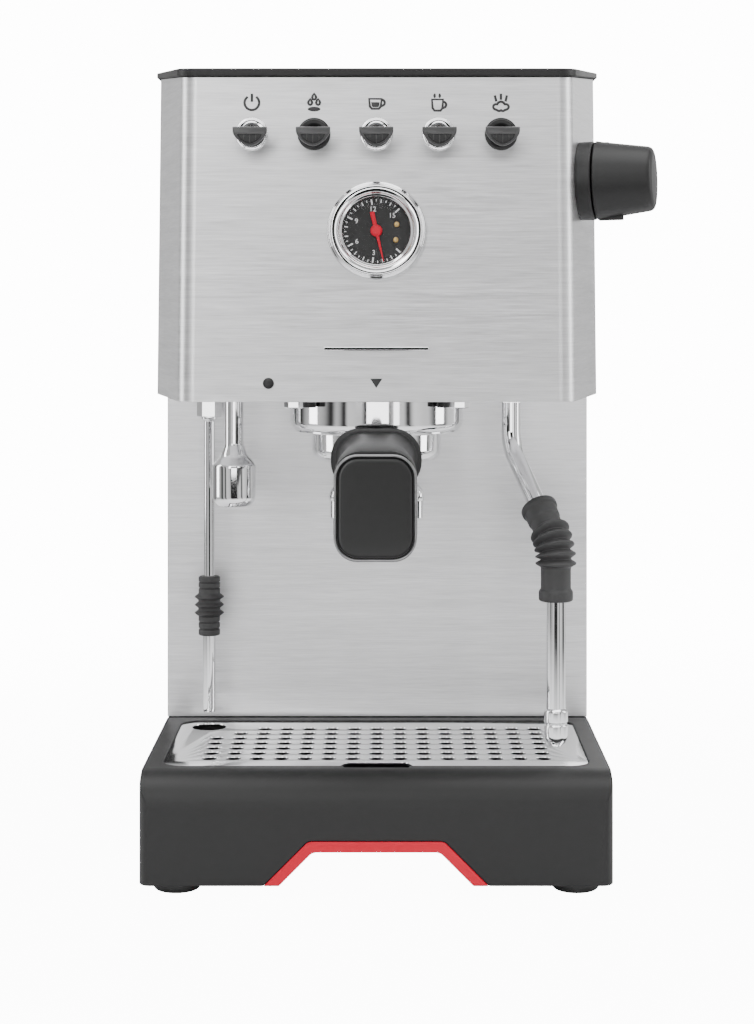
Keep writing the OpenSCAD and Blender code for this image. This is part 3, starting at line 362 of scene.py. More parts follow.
def piece(name, bm, material, body, slot=None, nodes=(), bevel=0.0, segments=2, angle=32.0):
    """Makes a kept object of a bmesh that is already in the row frame."""
    bmesh.ops.recalc_face_normals(bm, faces=bm.faces)
    mesh = bpy.data.meshes.new(name)
    bm.to_mesh(mesh)
    bm.free()
    mesh.materials.append(MATERIALS[material])
    obj = bpy.data.objects.new(name, mesh)
    bpy.context.scene.collection.objects.link(obj)
    shaded(obj, bevel, segments, angle)
    return keep(obj, body, slot or (material if material in SLOTS else SLOT_OF[nodes[0]]), *nodes)


def softened(node, bevel, material=None, segments=2, angle=32.0):
    """A copy of a CAD node with rounded edges, which stands for it."""
    bm = bmesh.new()
    bm.from_mesh(NODES[node].data)
    bmesh.ops.remove_doubles(bm, verts=bm.verts, dist=3e-6)
    bmesh.ops.dissolve_limit(bm, angle_limit=math.radians(0.4), verts=bm.verts, edges=bm.edges)
    return piece(node + ".soft", bm, material or SLOT_OF[node], BODY_OF[node], SLOT_OF[node], (node,), bevel,
                 segments, angle)


def lines(name, strokes, width, matrix, material, body, slot, depth=0.18):
    """Printed lines: strokes of (x, z) points on the panel, closed where the first point comes again."""
    curve = bpy.data.curves.new(name, "CURVE")
    curve.dimensions = "3D"
    curve.bevel_depth, curve.bevel_resolution = width / 2, 2
    for stroke in strokes:
        closed = stroke[0] == stroke[-1]
        points = stroke[:-1] if closed else stroke
        spline = curve.splines.new("POLY")
        spline.points.add(len(points) - 1)
        for point, (x, z) in zip(spline.points, points):
            point.co = (x, z, 0, 1)
        spline.use_cyclic_u = closed
    curve.use_fill_caps = True
    source = bpy.data.objects.new(name, curve)
    bpy.context.scene.collection.objects.link(source)
    flat = matrix @ Matrix.Rotation(math.pi / 2, 4, "X") @ Matrix.Diagonal((1, 1, depth, 1))
    return from_object(source, name, flat, material, body, slot)


def from_object(source, name, matrix, material, body, slot):
    """Turns a curve or text object into a mesh piece and deletes the source."""
    bpy.context.view_layer.update()
    mesh = bpy.data.meshes.new_from_object(source.evaluated_get(bpy.context.evaluated_depsgraph_get()))
    bpy.data.objects.remove(source)
    bm = bmesh.new()
    bm.from_mesh(mesh)
    bpy.data.meshes.remove(mesh)
    bmesh.ops.remove_doubles(bm, verts=bm.verts, dist=1e-4)
    bm.transform(matrix)
    return piece(name, bm, material, body, slot)


def arc(radius, start, end, steps=16, centre=(0.0, 0.0)):
    """Points on an arc, in degrees anticlockwise from +X."""
    angles = [math.radians(start + (end - start) * k / steps) for k in range(steps + 1)]
    return [(centre[0] + radius * math.cos(a), centre[1] + radius * math.sin(a)) for a in angles]


# ---------- camera, light and floor ----------
CAMERA_AT = (4.5, -1088.0, 310.7)
LENS_MM, SENSOR_MM = 75.9, 36.0
SHIFT = (-0.0079, -0.2246)


def make_camera():
    data = bpy.data.cameras.new("camera")
    data.lens, data.sensor_width = LENS_MM, SENSOR_MM
    data.shift_x, data.shift_y = SHIFT
    data.clip_end = 50
    camera = bpy.data.objects.new("camera", data)
    camera.location = at(*CAMERA_AT)
    camera.rotation_euler = (math.pi / 2, 0, 0)
    bpy.context.scene.collection.objects.link(camera)
    bpy.context.scene.camera = camera


BACKDROP = 14.0
FLOOR_GLOW, FLOOR_SHARE = BACKDROP, 0.85
# Half the floor's width, and the distances in m over which its glow and its view of the walls come in
FLOOR_HALF = 40
GLOW_NEAR, GLOW_FAR = 0.25, 0.8
WALLS_NEAR, WALLS_FAR = 0.4, 0.8
# Brightness of the walls by the direction's X, from the left (0) to the right (1)
ROOM = ((0.0, 0.9), (0.06, 0.05), (0.10, 0.9), (0.16, 0.04), (0.20, 1.3), (0.32, 1.1), (0.38, 0.03),
        (0.62, 0.03), (0.69, 1.1), (0.78, 1.3), (0.83, 0.05), (0.89, 1.5), (0.97, 1.2), (1.0, 0.05))
SKY, ROOM_STRENGTH = 0.8, 0.75
# The walls turn to sky between these heights of the direction
SKY_LOW, SKY_HIGH = 0.2, 0.55


def room_bands(graph, direction):
    """Brightness of the studio's walls in a direction, and that direction's height."""
    split = graph.node("ShaderNodeSeparateXYZ")
    graph.link(direction, split.inputs[0])
    side = graph.node("ShaderNodeMapRange")
    side.inputs["From Min"].default_value = -1
    graph.link(split.outputs["X"], side.inputs["Value"])
    ramp = graph.node("ShaderNodeValToRGB")
    ramp.color_ramp.interpolation = "EASE"
    stops = ramp.color_ramp.elements
    for position, value in ROOM[1:-1]:
        stops.new(position).color = (value, value, value, 1)
    for stop, (_, value) in ((stops[0], ROOM[0]), (stops[-1], ROOM[-1])):
        stop.color = (value, value, value, 1)
    graph.link(side.outputs["Result"], ramp.inputs["Fac"])
    return ramp.outputs["Color"], split.outputs["Z"]


def make_world():
    """White for the camera; a studio with light and dark walls and a bright ceiling for everything else."""
    world = bpy.data.worlds.new("studio")
    bpy.context.scene.world = world
    world.use_nodes = True
    graph = Graph(world.node_tree)
    world.node_tree.nodes.clear()
    bands, height = room_bands(graph, graph.node("ShaderNodeTexCoord").outputs["Generated"])
    rise = graph.node("ShaderNodeMapRange", interpolation_type="SMOOTHSTEP")
    rise.inputs["From Min"].default_value, rise.inputs["From Max"].default_value = SKY_LOW, SKY_HIGH
    graph.link(height, rise.inputs["Value"])
    walls = graph.node("ShaderNodeMix", data_type="RGBA")
    walls.inputs[7].default_value = (SKY, SKY, SKY, 1)
    graph.link(rise.outputs["Result"], walls.inputs[0])
    graph.link(bands, walls.inputs[6])
    room = graph.node("ShaderNodeBackground", Strength=ROOM_STRENGTH)
    graph.link(walls.outputs[2], room.inputs["Color"])
    white = graph.node("ShaderNodeBackground", Strength=BACKDROP)
    white.inputs["Color"].default_value = (1, 1, 1, 1)
    path = graph.node("ShaderNodeLightPath")
    mix = graph.node("ShaderNodeMixShader")
    graph.link(path.outputs["Is Camera Ray"], mix.inputs[0])
    graph.link(room.outputs[0], mix.inputs[1])
    graph.link(white.outputs[0], mix.inputs[2])
    output = graph.node("ShaderNodeOutputWorld")
    graph.link(mix.outputs[0], output.inputs["Surface"])


def make_floor():
    """A pale floor that keeps a faint contact shadow; further out, reflections see the walls in it."""
    bm = bmesh.new()
    bmesh.ops.create_grid(bm, x_segments=2, y_segments=2, size=FLOOR_HALF)
    mesh = bpy.data.meshes.new("floor")
    bm.to_mesh(mesh)
    bm.free()
    floor = bpy.data.objects.new("floor", mesh)
    bpy.context.scene.collection.objects.link(floor)
    material = bpy.data.materials.new("floor")
    material.use_nodes = True
    graph = Graph(material.node_tree)
    shader = material.node_tree.nodes["Principled BSDF"]
    patches = graph.noise((2, 2, 2))
    graph.link(graph.blend(graph.remap(patches, 0, 1), grey(0.90), grey(0.93)), shader.inputs["Base Color"])
    shader.inputs["Roughness"].default_value = 0.8
    shader.inputs["Specular IOR Level"].default_value = 0.1
    glow = graph.node("ShaderNodeEmission", Strength=FLOOR_GLOW)
    path = graph.node("ShaderNodeLightPath")
    distance = graph.node("ShaderNodeVectorMath", operation="LENGTH")
    graph.link(graph.node("ShaderNodeTexCoord").outputs["Object"], distance.inputs[0])
    share = graph.node("ShaderNodeMapRange")
    for socket, value in (("From Min", GLOW_NEAR), ("From Max", GLOW_FAR), ("To Min", FLOOR_SHARE),
                          ("To Max", 1.0)):
        share.inputs[socket].default_value = value
    graph.link(distance.outputs["Value"], share.inputs["Value"])
    factor = graph.node("ShaderNodeMath", operation="MULTIPLY")
    graph.link(share.outputs["Result"], factor.inputs[1])
    graph.link(path.outputs["Is Camera Ray"], factor.inputs[0])
    away = graph.node("ShaderNodeVectorMath", operation="NORMALIZE")
    graph.link(graph.node("ShaderNodeTexCoord").outputs["Object"], away.inputs[0])
    walls = graph.node("ShaderNodeEmission", Strength=ROOM_STRENGTH)
    graph.link(room_bands(graph, away.outputs["Vector"])[0], walls.inputs["Color"])
    mirrored = graph.node("ShaderNodeMapRange")
    mirrored.inputs["From Min"].default_value = WALLS_NEAR
    mirrored.inputs["From Max"].default_value = WALLS_FAR
    graph.link(distance.outputs["Value"], mirrored.inputs["Value"])
    glossy = graph.node("ShaderNodeMath", operation="MULTIPLY")
    graph.link(mirrored.outputs["Result"], glossy.inputs[1])
    graph.link(path.outputs["Is Glossy Ray"], glossy.inputs[0])
    seen = graph.node("ShaderNodeMixShader")
    graph.link(glossy.outputs[0], seen.inputs[0])
    graph.link(shader.outputs[0], seen.inputs[1])
    graph.link(walls.outputs[0], seen.inputs[2])
    mix = graph.node("ShaderNodeMixShader")
    graph.link(factor.outputs[0], mix.inputs[0])
    graph.link(seen.outputs[0], mix.inputs[1])
    graph.link(glow.outputs[0], mix.inputs[2])
    graph.link(mix.outputs[0], material.node_tree.nodes["Material Output"].inputs["Surface"])
    mesh.materials.append(material)


# Area lights: place and target in mm, width and height in m, power in W
LIGHTS = {
    "key": ((-620, -1500, 900), (0, 60, 240), 0.35, 1.5, 8),
    "fill": ((760, -1500, 700), (0, 60, 220), 0.25, 1.5, 3.5),
    "front": ((60, -2300, 120), (0, 60, 250), 1.2, 0.5, 8),
    "high": ((-200, -2000, 1500), (0, 60, 350), 1.4, 0.8, 9),
    "top": ((0, -100, 1400), (0, 60, 300), 1.6, 1.0, 20),
    "left": ((-1300, 100, 500), (0, 100, 220), 0.35, 1.4, 9),
    "right": ((1300, 100, 500), (0, 100, 220), 0.35, 1.4, 9),
    "rear": ((300, 1700, 900), (0, 250, 250), 1.2, 1.0, 8),
}


def make_lights():
    for name, (source, target, width, height, power) in LIGHTS.items():
        data = bpy.data.lights.new(name, "AREA")
        data.shape, data.size, data.size_y, data.energy = "RECTANGLE", width, height, power
        light = bpy.data.objects.new(name, data)
        light.location = at(*source)
        light.rotation_euler = (at(*target) - at(*source)).to_track_quat("-Z", "Y").to_euler()
        bpy.context.scene.collection.objects.link(light)


make_camera()
make_world()
make_floor()
make_lights()


# ---------- base and drip tray ----------
def make_feet():
    bm = bmesh.new()
    lo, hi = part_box("rubber_feet")
    outline = rounded([(0, 0.6, 0), (7, 0.6, 0.5), (8, 0, 0.5), (11, 0, 1.5), (12.5, 2.2, 1.5),
                       (12.5, 6.0, 0), (0, 6.0, 0)])
    for x in (lo.x + 0.0125, hi.x - 0.0125):
        for y in (lo.y + 0.0125, hi.y - 0.0125):
            lathe(bm, outline, Matrix.Translation((x, y, 0)) @ Matrix.Scale(MM, 4), 48)
    piece("rubber_feet.turned", bm, "rubber", "machine", nodes=("rubber_feet",))


HOLE_PITCH, HOLE_R, HOLE_COLS, HOLE_ROWS = 12.5, 4.0, 15, 7
GRILLE_W, GRILLE_Y0, GRILLE_Y1, GRILLE_T, GRILLE_CORNER = 220.0, 23.0, SPLASH_Y - 11, 1.5, 11.0


def circle_points(radius, centre, count=36):
    return [(centre[0] + radius * math.cos(2 * math.pi * k / count),
             centre[1] + radius * math.sin(2 * math.pi * k / count))
            for k in range(count)]


def grille_outlines():
    """The plate's outline with its notch, and its holes."""
    middle = (GRILLE_Y0 + GRILLE_Y1) / 2
    outline = [(x, y + middle) for x, y in rect_ring(GRILLE_W, GRILLE_Y1 - GRILLE_Y0, GRILLE_CORNER)]
    front = min(y for _, y in outline)
    start = next(i for i, (x, y) in enumerate(outline) if abs(y - front) < 1e-6 and x < 0)
    notch = [Vector((-19.6, front)),
             *rounded([(-24, front, 0), (-19.6, front, 2.0), (-15.5, front + 10, 3), (15.5, front + 10, 3),
                       (19.6, front, 2.0), (24, front, 0)])[1:-1]]
    outline = outline[:start + 1] + [tuple(p) for p in notch[1:]] + outline[start + 1:]
    holes = []
    for col in range(HOLE_COLS):
        for row in range(HOLE_ROWS):
            if col > 1 or row < HOLE_ROWS - 2 or (col == 1 and row == HOLE_ROWS - 2):
                centre = ((col - (HOLE_COLS - 1) / 2) * HOLE_PITCH, GRILLE_Y0 + 18.5 + row * HOLE_PITCH)
                holes.append(circle_points(HOLE_R, centre))
    holes.append(circle_points(9.5, (DRAIN_X, DRAIN_Y), 48))
    return [outline, *holes]


def plate(name, outlines, thickness, edge, matrix, material, body, slot, nodes=()):
    """A flat plate on local XY with its holes and softened edges; its top face is at local Z = 0."""
    curve = bpy.data.curves.new(name, "CURVE")
    curve.dimensions, curve.fill_mode = "2D", "BOTH"
    curve.extrude, curve.bevel_depth, curve.bevel_resolution = thickness / 2 - edge, edge, 1
    curve.offset = -edge
    for outline in outlines:
        spline = curve.splines.new("POLY")
        spline.points.add(len(outline) - 1)
        for point, (x, y) in zip(spline.points, outline):
            point.co = (x, y, 0, 1)
        spline.use_cyclic_u = True
    source = bpy.data.objects.new(name, curve)
    bpy.context.scene.collection.objects.link(source)
    obj = from_object(source, name, matrix @ Matrix.Translation((0, 0, -thickness / 2)), material, body, slot)
    if nodes:
        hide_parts(*nodes)
    return obj


def make_base():
    softened("base_chassis", 1.0)
    softened("drip_tray", 0.7, segments=3)
    softened("grip_trim", 0.5)
    make_feet()
    plate("drip_grille.plate", grille_outlines(), GRILLE_T, 0.3, place(0, 0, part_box("drip_grille")[1].z / MM),
          "plain_steel", "drip_grille", "brushed_steel", ("drip_grille",))


# ---------- body shell ----------
def make_shell():
    for node in ("splash_panel", "side_panel_left", "side_panel_right", "rear_panel", "head_front_panel",
                 "head_underside_plate"):
        softened(node, 0.3)
    softened("cup_warmer_plate", 0.3, "plain_steel")
    softened("top_frame", 0.8, segments=3)
    softened("tank_lid", 0.5)
    softened("water_tank", 0.6)


# ---------- toggles ----------
def make_bezels():
    outline = rounded([(4.1, -0.2, 0), (4.1, 1.1, 0.5), (5.6, 1.9, 0.5), (7.4, 2.2, 0.6), (7.6, 1.6, 0.2),
                       (8.5, 1.5, 0.6), (8.5, -0.2, 0)])
    for name, spots in (("chrome", (-2, 0, 1)), ("black", (-1, 2))):
        bm = bmesh.new()
        for spot in spots:
            lathe(bm, outline, out_of_panel(spot * TOGGLE_PITCH, TOGGLE_Z), loop=True)
        material = "polished_chrome" if name == "chrome" else "glossy_black"
        slot = "polished_chrome" if name == "chrome" else "black_plastic"
        piece("toggle_bezels_" + name + ".turned", bm, material, "machine", slot, ("toggle_bezels_" + name,))


def paddle_ring(scale, y, round_r=None, mix=0.0):
    """Outline of a paddle at depth y, or that outline blended towards a circle."""
    corners = [(8.75, 4.4, 0.5), (8.75, 0.9, 2.2), (5.6, -3.2, 2.6), (0, -6.3, 3.4), (-5.6, -3.2, 2.6),
               (-8.75, 0.9, 2.2), (-8.75, 4.4, 0.5)]
    outline = rounded([(0, 4.4, 0), *corners[:3], (0, -6.3, 3.4), *corners[4:], (0, 4.4, 0)], 6)[:-1]
    ring = []
    for point in outline:
        u, v = point.x * scale, point.y * scale
        if round_r:
            angle = math.atan2(point.y, point.x)
            u = u * (1 - mix) + round_r * math.cos(angle) * mix
            v = v * (1 - mix) + round_r * math.sin(angle) * mix
        ring.append((u, y, v))
    return ring


def make_lever(index):
    """A paddle with a ribbed recess, on a short stalk; a darker sheet on the recess's floor paints its shade.
    """
    matrix = on_panel((index - 3) * TOGGLE_PITCH, TOGGLE_Z, (TOGGLE_REST, "X"))
    name = f"toggle_lever_{index}"
    bm = bmesh.new()
    loft(bm, [paddle_ring(0.90, -18.0), paddle_ring(0.955, -17.85), paddle_ring(0.99, -17.4),
              paddle_ring(1.0, -16.8), paddle_ring(1.0, -14.4), paddle_ring(0.97, -13.4),
              paddle_ring(0.9, -12.0, 4.2, 0.25), paddle_ring(0.8, -9.6, 3.8, 0.6),
              paddle_ring(0.7, -7.2, 3.4, 1.0), paddle_ring(0.7, -2.0, 3.0, 1.0)],
         matrix)
    body = piece(name + ".paddle", bm, "lever_black", f"toggle_{index}", "glossy_black", (name,), angle=40)
    cutter = bmesh.new()
    smile = rounded([(0, 0.9, 0), (6.7, 0.9, 0.9), (5.0, -2.3, 2.0), (0, -4.9, 3.0), (-5.0, -2.3, 2.0),
                     (-6.7, 0.9, 0.9), (0, 0.9, 0)],
                    6)[:-1]
    loft(cutter, [[(p.x * s, y, p.y * s - (1 - s)) for p in smile]
                  for s, y in ((1.04, -19.0), (1.0, -17.9), (0.93, -17.0))], matrix)
    bmesh.ops.recalc_face_normals(cutter, faces=cutter.faces)
    subtract(body, cutter)
    ribs = bmesh.new()
    for x in (-3.1, 0, 3.1):
        low = -3.9 + abs(x) * 0.5
        block(ribs, (0.5, 0.7, 0.7 - low), (x, -17.1, (0.7 + low) / 2), matrix)
    piece(name + ".ribs", ribs, "lever_black", f"toggle_{index}", "glossy_black", bevel=0.15)
    # A darker sheet on the recess's floor: painted shade in the recess
    painted_shade_sheet = bmesh.new()
    loft(painted_shade_sheet, [[(p.x * s, y, p.y * s - (1 - s)) for p in smile]
                 for s, y in ((0.95, -16.9), (0.95, -17.1), (0.9, -17.15))], matrix)
    piece(name + ".field", painted_shade_sheet, "black_ink", f"toggle_{index}", "glossy_black")


def subtract(obj, cutter_bm):
    """Cuts a bmesh out of a piece and keeps the result."""
    mesh = bpy.data.meshes.new("cutter")
    cutter_bm.to_mesh(mesh)
    cutter_bm.free()
    cutter = bpy.data.objects.new("cutter", mesh)
    bpy.context.scene.collection.objects.link(cutter)
    modifier = obj.modifiers.new("cut", "BOOLEAN")
    modifier.operation, modifier.object, modifier.solver = "DIFFERENCE", cutter, "EXACT"
    bpy.context.view_layer.update()
    result = bpy.data.meshes.new_from_object(obj.evaluated_get(bpy.context.evaluated_depsgraph_get()))
    obj.modifiers.remove(modifier)
    obj.data = result
    result.set_sharp_from_angle(angle=math.radians(32))
    bpy.data.objects.remove(cutter)


# ---------- pictograms and marks on the panel ----------
PICTOGRAM_Z = 403.4


def drop(x, z, height):
    side = [(0.0, 0.5), (0.24, 0.12), (0.33, -0.14), (0.22, -0.4), (0.0, -0.5)]
    points = side + [(-u, v) for u, v in side[-2::-1]]
    return [(x + u * height, z + v * height) for u, v in points]


def pictograms():
    """Own plain symbols: power, first drops, small cup, tall cup, steam."""
    small = [(-3.5, 1.9), (-3.1, -1.8), (-2.2, -2.9), (1.2, -2.9), (2.1, -1.8), (2.5, 1.9), (-3.5, 1.9)]
    tall = [(-3.2, 1.6), (-2.9, -2.6), (-2.0, -3.8), (0.9, -3.8), (1.8, -2.6), (2.1, 1.6), (-3.2, 1.6)]
    cloud = (arc(1.3, 60, 250, 8, (-2.4, -2.0)) + arc(1.1, 220, 320, 5, (-0.9, -2.9))
             + arc(1.1, 220, 320, 5, (0.9, -2.9))
             + arc(1.3, -70, 120, 8, (2.4, -2.0)) + arc(1.9, 20, 160, 8, (0.0, -1.4)))
    return [
        [arc(3.5, 125, 415, 28), [(0, 0.4), (0, 4.4)]],
        [drop(-1.9, 0.4, 2.9), drop(0, 3.0, 2.9), drop(1.9, 0.4, 2.9)],
        [small, arc(1.5, 90, -90, 10, (2.5, 0.0))],
        [tall, arc(1.5, 90, -90, 10, (2.1, -1.0)), arc(0.8, 250, 110, 6, (-1.2, 3.4)),
         arc(0.8, -70, 70, 6, (-0.2, 3.4))],
        [cloud + cloud[:1], [(-2.2, 0.6), (-2.9, 3.6)], [(0, 1.4), (0, 4.4)], [(2.2, 0.6), (2.9, 3.6)]],
    ]


def make_fills():
    """The filled parts of the pictograms: the bar below the drops, and the coffee in the small cup."""
    bar = [(3.3 * math.cos(a), 1.25 * math.sin(a)) for a in (2 * math.pi * k / 32 for k in range(32))]
    coffee = [(-2.7, 0.3), (-2.4, -1.7), (-1.9, -2.3), (0.9, -2.3), (1.4, -1.7), (1.7, 0.3)]
    for name, spot, height, outline in (("drops_bar", -1, -3.3, bar), ("cup_coffee", 0, 0.0, coffee)):
        plate(name, [outline], 0.2, 0.04,
              out_of_panel(spot * TOGGLE_PITCH, PICTOGRAM_Z + height) @ Matrix.Translation((0, 0, 0.1)),
              "black_ink", "machine", "black_plastic")


def make_marks():
    for number, strokes in enumerate(pictograms(), 1):
        spot = on_panel((number - 3) * TOGGLE_PITCH, PICTOGRAM_Z)
        spot = spot @ Matrix.Translation((0, -0.08, 0)) @ Matrix.Scale(1.08, 4)
        lines(f"pictogram_{number}", strokes, 1.2, spot, "black_ink", "machine", "black_plastic")
    make_fills()
    triangle = rounded([(0, 2.2, 0), (3.1, 2.2, 0.3), (0, -2.6, 0.3), (-3.1, 2.2, 0.3), (0, 2.2, 0)], 3)[:-1]
    plate("lock_mark", [[tuple(p) for p in triangle]], 0.3, 0.05,
          out_of_panel(0, 259.2) @ Matrix.Translation((0, 0, 0.12)), "black_ink", "machine", "black_plastic")
    bar = bmesh.new()
    block(bar, (54, 1.6, 2.0), (0, -0.7, 0), on_panel(0, 276.5))
    piece("trim_bar", bar, "polished_chrome", "machine", bevel=0.45, segments=3)


# ---------- gauge ----------
DEGREES_PER_BAR, ZERO_ANGLE, BARS = 18.24, -48.0, 15


def dial_direction(bar):
    """Unit vector on the dial; angles run clockwise from straight down."""
    angle = math.radians(ZERO_ANGLE + DEGREES_PER_BAR * bar)
    return Vector((-math.sin(angle), -math.cos(angle)))


def make_gauge():
    face = out_of_panel(0, GAUGE_Z)
    bm = bmesh.new()
    outline = rounded([(17.6, -0.2, 0), (17.6, 3.0, 0.3), (19.0, 3.4, 0.4), (19.6, 4.4, 0.5),
                       (21.6, 5.0, 0.8), (23.4, 5.0, 1.2), (24.2, 3.9, 0.5), (25.0, 3.4, 0.6),
                       (25.5, 2.4, 0.8), (25.5, -0.2, 0)], 6)
    lathe(bm, outline, face, 128, loop=True)
    piece("gauge_bezel.turned", bm, "polished_chrome", "machine", nodes=("gauge_bezel",))
    bm = bmesh.new()
    lathe(bm, rounded([(0, 0, 0), (17.0, 0, 0.3), (17.4, 0.5, 0.2), (18.9, 0.6, 0),
                       (18.9, -0.3, 0), (0, -0.3, 0)], 4), face @ Matrix.Translation((0, 0, -0.5)), 96)
    piece("gauge_dial.disc", bm, "dial_face", "machine", nodes=("gauge_dial",))
    bm = bmesh.new()
    outer = 16.6
    for half_bar in range(2 * BARS + 1):
        way = dial_direction(half_bar / 2)
        length, width = (2.9, 0.8) if half_bar % 6 == 0 else (1.9, 0.55) if half_bar % 2 == 0 else (1.2, 0.45)
        turn = Matrix.Rotation(math.atan2(way.y, way.x), 4, "Z")
        block(bm, (length, width, 0.06), (outer - length / 2, 0, -0.44), face @ turn)
    piece("dial_ticks", bm, "white_ink", "machine", "dial_face")
    for bar in range(3, BARS + 1, 3):
        numeral(bar, dial_direction(bar) * 11.4, face)
    bm = bmesh.new()
    dome = [(18.2 * math.cos(math.pi / 2 * k / 8), 2.9 + 1.1 * math.sin(math.pi / 2 * k / 8))
            for k in range(9)]
    lathe(bm, [*((r, z) for r, z in dome[:-1]), (0, 4.0), (0, 3.2),
               *((r * 0.99, z - 0.8) for r, z in dome[-2::-1])], face, 96,
          loop=True)
    piece("gauge_lens.dome", bm, "clear_glass", "machine", nodes=("gauge_lens",))
    make_needle(face)
    bm = bmesh.new()
    for x, y in ((10.5, 3.3), (10.0, -4.7)):
        lathe(bm, rounded([(0, 0.6, 0), (1.1, 0.55, 0.3), (1.5, 0.1, 0.2), (1.5, -0.5, 0)], 4),
              face @ Matrix.Translation((x, y, 0)), 24)
    piece("dial_screws", bm, "brass", "machine")


def numeral(value, spot, face):
    text = bpy.data.curves.new(f"numeral_{value}", "FONT")
    text.body, text.size, text.align_x, text.align_y = str(value), 3.7, "CENTER", "CENTER"
    text.extrude = 0.04
    source = bpy.data.objects.new(text.name, text)
    bpy.context.scene.collection.objects.link(source)
    from_object(source, f"numeral_{value}", face @ Matrix.Translation((spot.x, spot.y, -0.44)), "white_ink",
                "machine", "dial_face")


def make_needle(face):
    turned = face @ Matrix.Rotation(math.radians(13), 4, "Z")
    bm = bmesh.new()
    lathe(bm, rounded([(0, 2.1, 0), (2.2, 2.1, 0.8), (3.1, 1.3, 0.5), (3.1, 0.5, 0)], 5), turned, 48)
    outline = [(-1.15, 10.0), (1.15, 10.0), (0.9, 0), (0.22, -16.4), (-0.22, -16.4), (-0.9, 0)]
    loft(bm, [[(x * s, y * (1 if s == 1 else 0.99), z) for x, y in outline]
              for s, z in ((1, 0.75), (1, 1.15), (0.6, 1.35))], turned)
    piece("gauge_needle.shaped", bm, "red_plastic", "gauge_needle", nodes=("gauge_needle",))


# ---------- steam knob ----------
def make_knob():
    flank = out_of_flank()
    bm = bmesh.new()
    lathe(bm, rounded([(0, 0, 0), (20.6, 0, 0.4), (20.8, COLLAR_L, 1.0), (16.0, COLLAR_L, 0.5),
                       (15.6, COLLAR_L - 0.8, 0.3), (0, COLLAR_L - 0.8, 0)]), flank, 96)
    piece("knob_collar.turned", bm, "black_plastic", "machine", nodes=("knob_collar",))
    raised = flank @ Matrix.Translation((0, 0, COLLAR_L + 0.3))
    bm = bmesh.new()
    lathe(bm, rounded([(0, 0.2, 0), (19.6, 0.2, 0.4), (21.0, 0.8, 0.6), (20.4, 4.0, 0.8),
                       (16.9, KNOB_L - 1.4, 2.2), (14.4, KNOB_L, 2.0), (0, KNOB_L + 0.2, 0)], 7), raised, 128)
    piece("steam_knob.turned", bm, "black_plastic", "steam_knob", nodes=("steam_knob",), angle=40)
    tabs = bmesh.new()
    block(tabs, (2.6, 3.2, 13.0), (20.0, 0, 7.8), raised)
    block(tabs, (1.4, 1.6, 5.0), (-19.8, 0, 4.6), raised)
    piece("knob_tabs", tabs, "black_plastic", "steam_knob", bevel=0.5, segments=3)


# ---------- group and portafilter ----------
def make_group():
    axis = place(0, GROUP_Y, 0)
    softened("group_head", 0.5, segments=3)
    bm = bmesh.new()
    rim = [(43.2 + 0.7 * math.cos(2 * math.pi * k / 12), 231.5 + 0.7 * math.sin(2 * math.pi * k / 12))
           for k in range(12)]
    lathe(bm, rim, axis, 128, loop=True)
    piece("bell_rim_bead", bm, "polished_chrome", "machine")
    bm = bmesh.new()
    for sx in (-1, 1):
        for dy in (-30.5, 30.5):
            spot = place(sx * 43.3, GROUP_Y + dy, HEAD_Z)
            lathe(bm, rounded([(0, -0.2, 0), (5.9, -0.2, 0), (5.9, -1.0, 0.3), (0, -1.0, 0)], 3), spot, 40)
            hexagon(bm, 8.8, -4.8, -0.9, spot)
    piece("group_bolts.hex", bm, "polished_chrome", "machine", nodes=("group_bolts",))
    bm = bmesh.new()
    for sx in (-1, 1):
        spot = place(sx * 34.8, GROUP_Y - 37.5, HEAD_Z)
        lathe(bm, rounded([(0, -0.1, 0), (3.4, -0.1, 0), (3.4, -3.9, 0.5), (1.9, -3.9, 0.1), (1.7, -1.9, 0),
                           (0, -1.9, 0)], 3), spot,
              32)
    piece("cap_screws", bm, "dark_steel", "machine", "brushed_steel")


def make_portafilter():
    softened("portafilter_bowl", 0.4, segments=3)
    softened("twin_spout", 0.4, segments=3)
    softened("filter_basket", 0.15, "plain_steel")
    make_handle()
    make_end_cap()


def handle_ring(y, width, height, radius, steps=9):
    """A section of the handle, tilted so that its butt faces a little upwards."""
    z = HANDLE_END_Z + (HANDLE_REACH + y) * math.tan(HANDLE_A)
    return [(u, y + v * math.sin(HANDLE_A), z + v * math.cos(HANDLE_A))
            for u, v in rect_ring(width, height, radius, steps)]


def make_handle():
    """Collar, step and a waisted grip that widens to its butt."""
    bm = bmesh.new()
    sections = [(14.6, 30, 20, 9.8), (14.2, 36, 24, 11.5), (13.4, 39, 27, 12.5), (11.5, 41.4, 28.6, 13.2),
                (7.6, 45.6, 31.4, 14.6), (6.6, 46.2, 31.9, 14.9), (5.9, 45.8, 31.6, 14.8),
                (5.5, 44.4, 30.6, 14.2), (5.2, 42.0, 29.2, 13.4), (3.6, 40.2, 28.4, 13.0),
                (1.0, 38.8, 28.6, 12.4), (-8.0, 36.2, 31.0, 12.0), (-20.0, 34.0, 34.6, 12.0),
                (-34.0, 33.2, 38.6, 12.0), (-48.0, 34.0, 42.8, 12.2), (-62.0, 35.8, 47.0, 12.6),
                (-76.0, 37.8, 50.6, 12.8), (-84.0, 38.6, 51.4, 12.8), (-88.4, 38.8, 50.8, 12.4),
                (-89.6, 38.4, 50.2, 12.2)]
    loft(bm, [handle_ring(*section) for section in sections], place(0, 0, 0))
    piece("portafilter_handle.grip", bm, "black_plastic", "portafilter",
          nodes=("portafilter_handle",), angle=38)


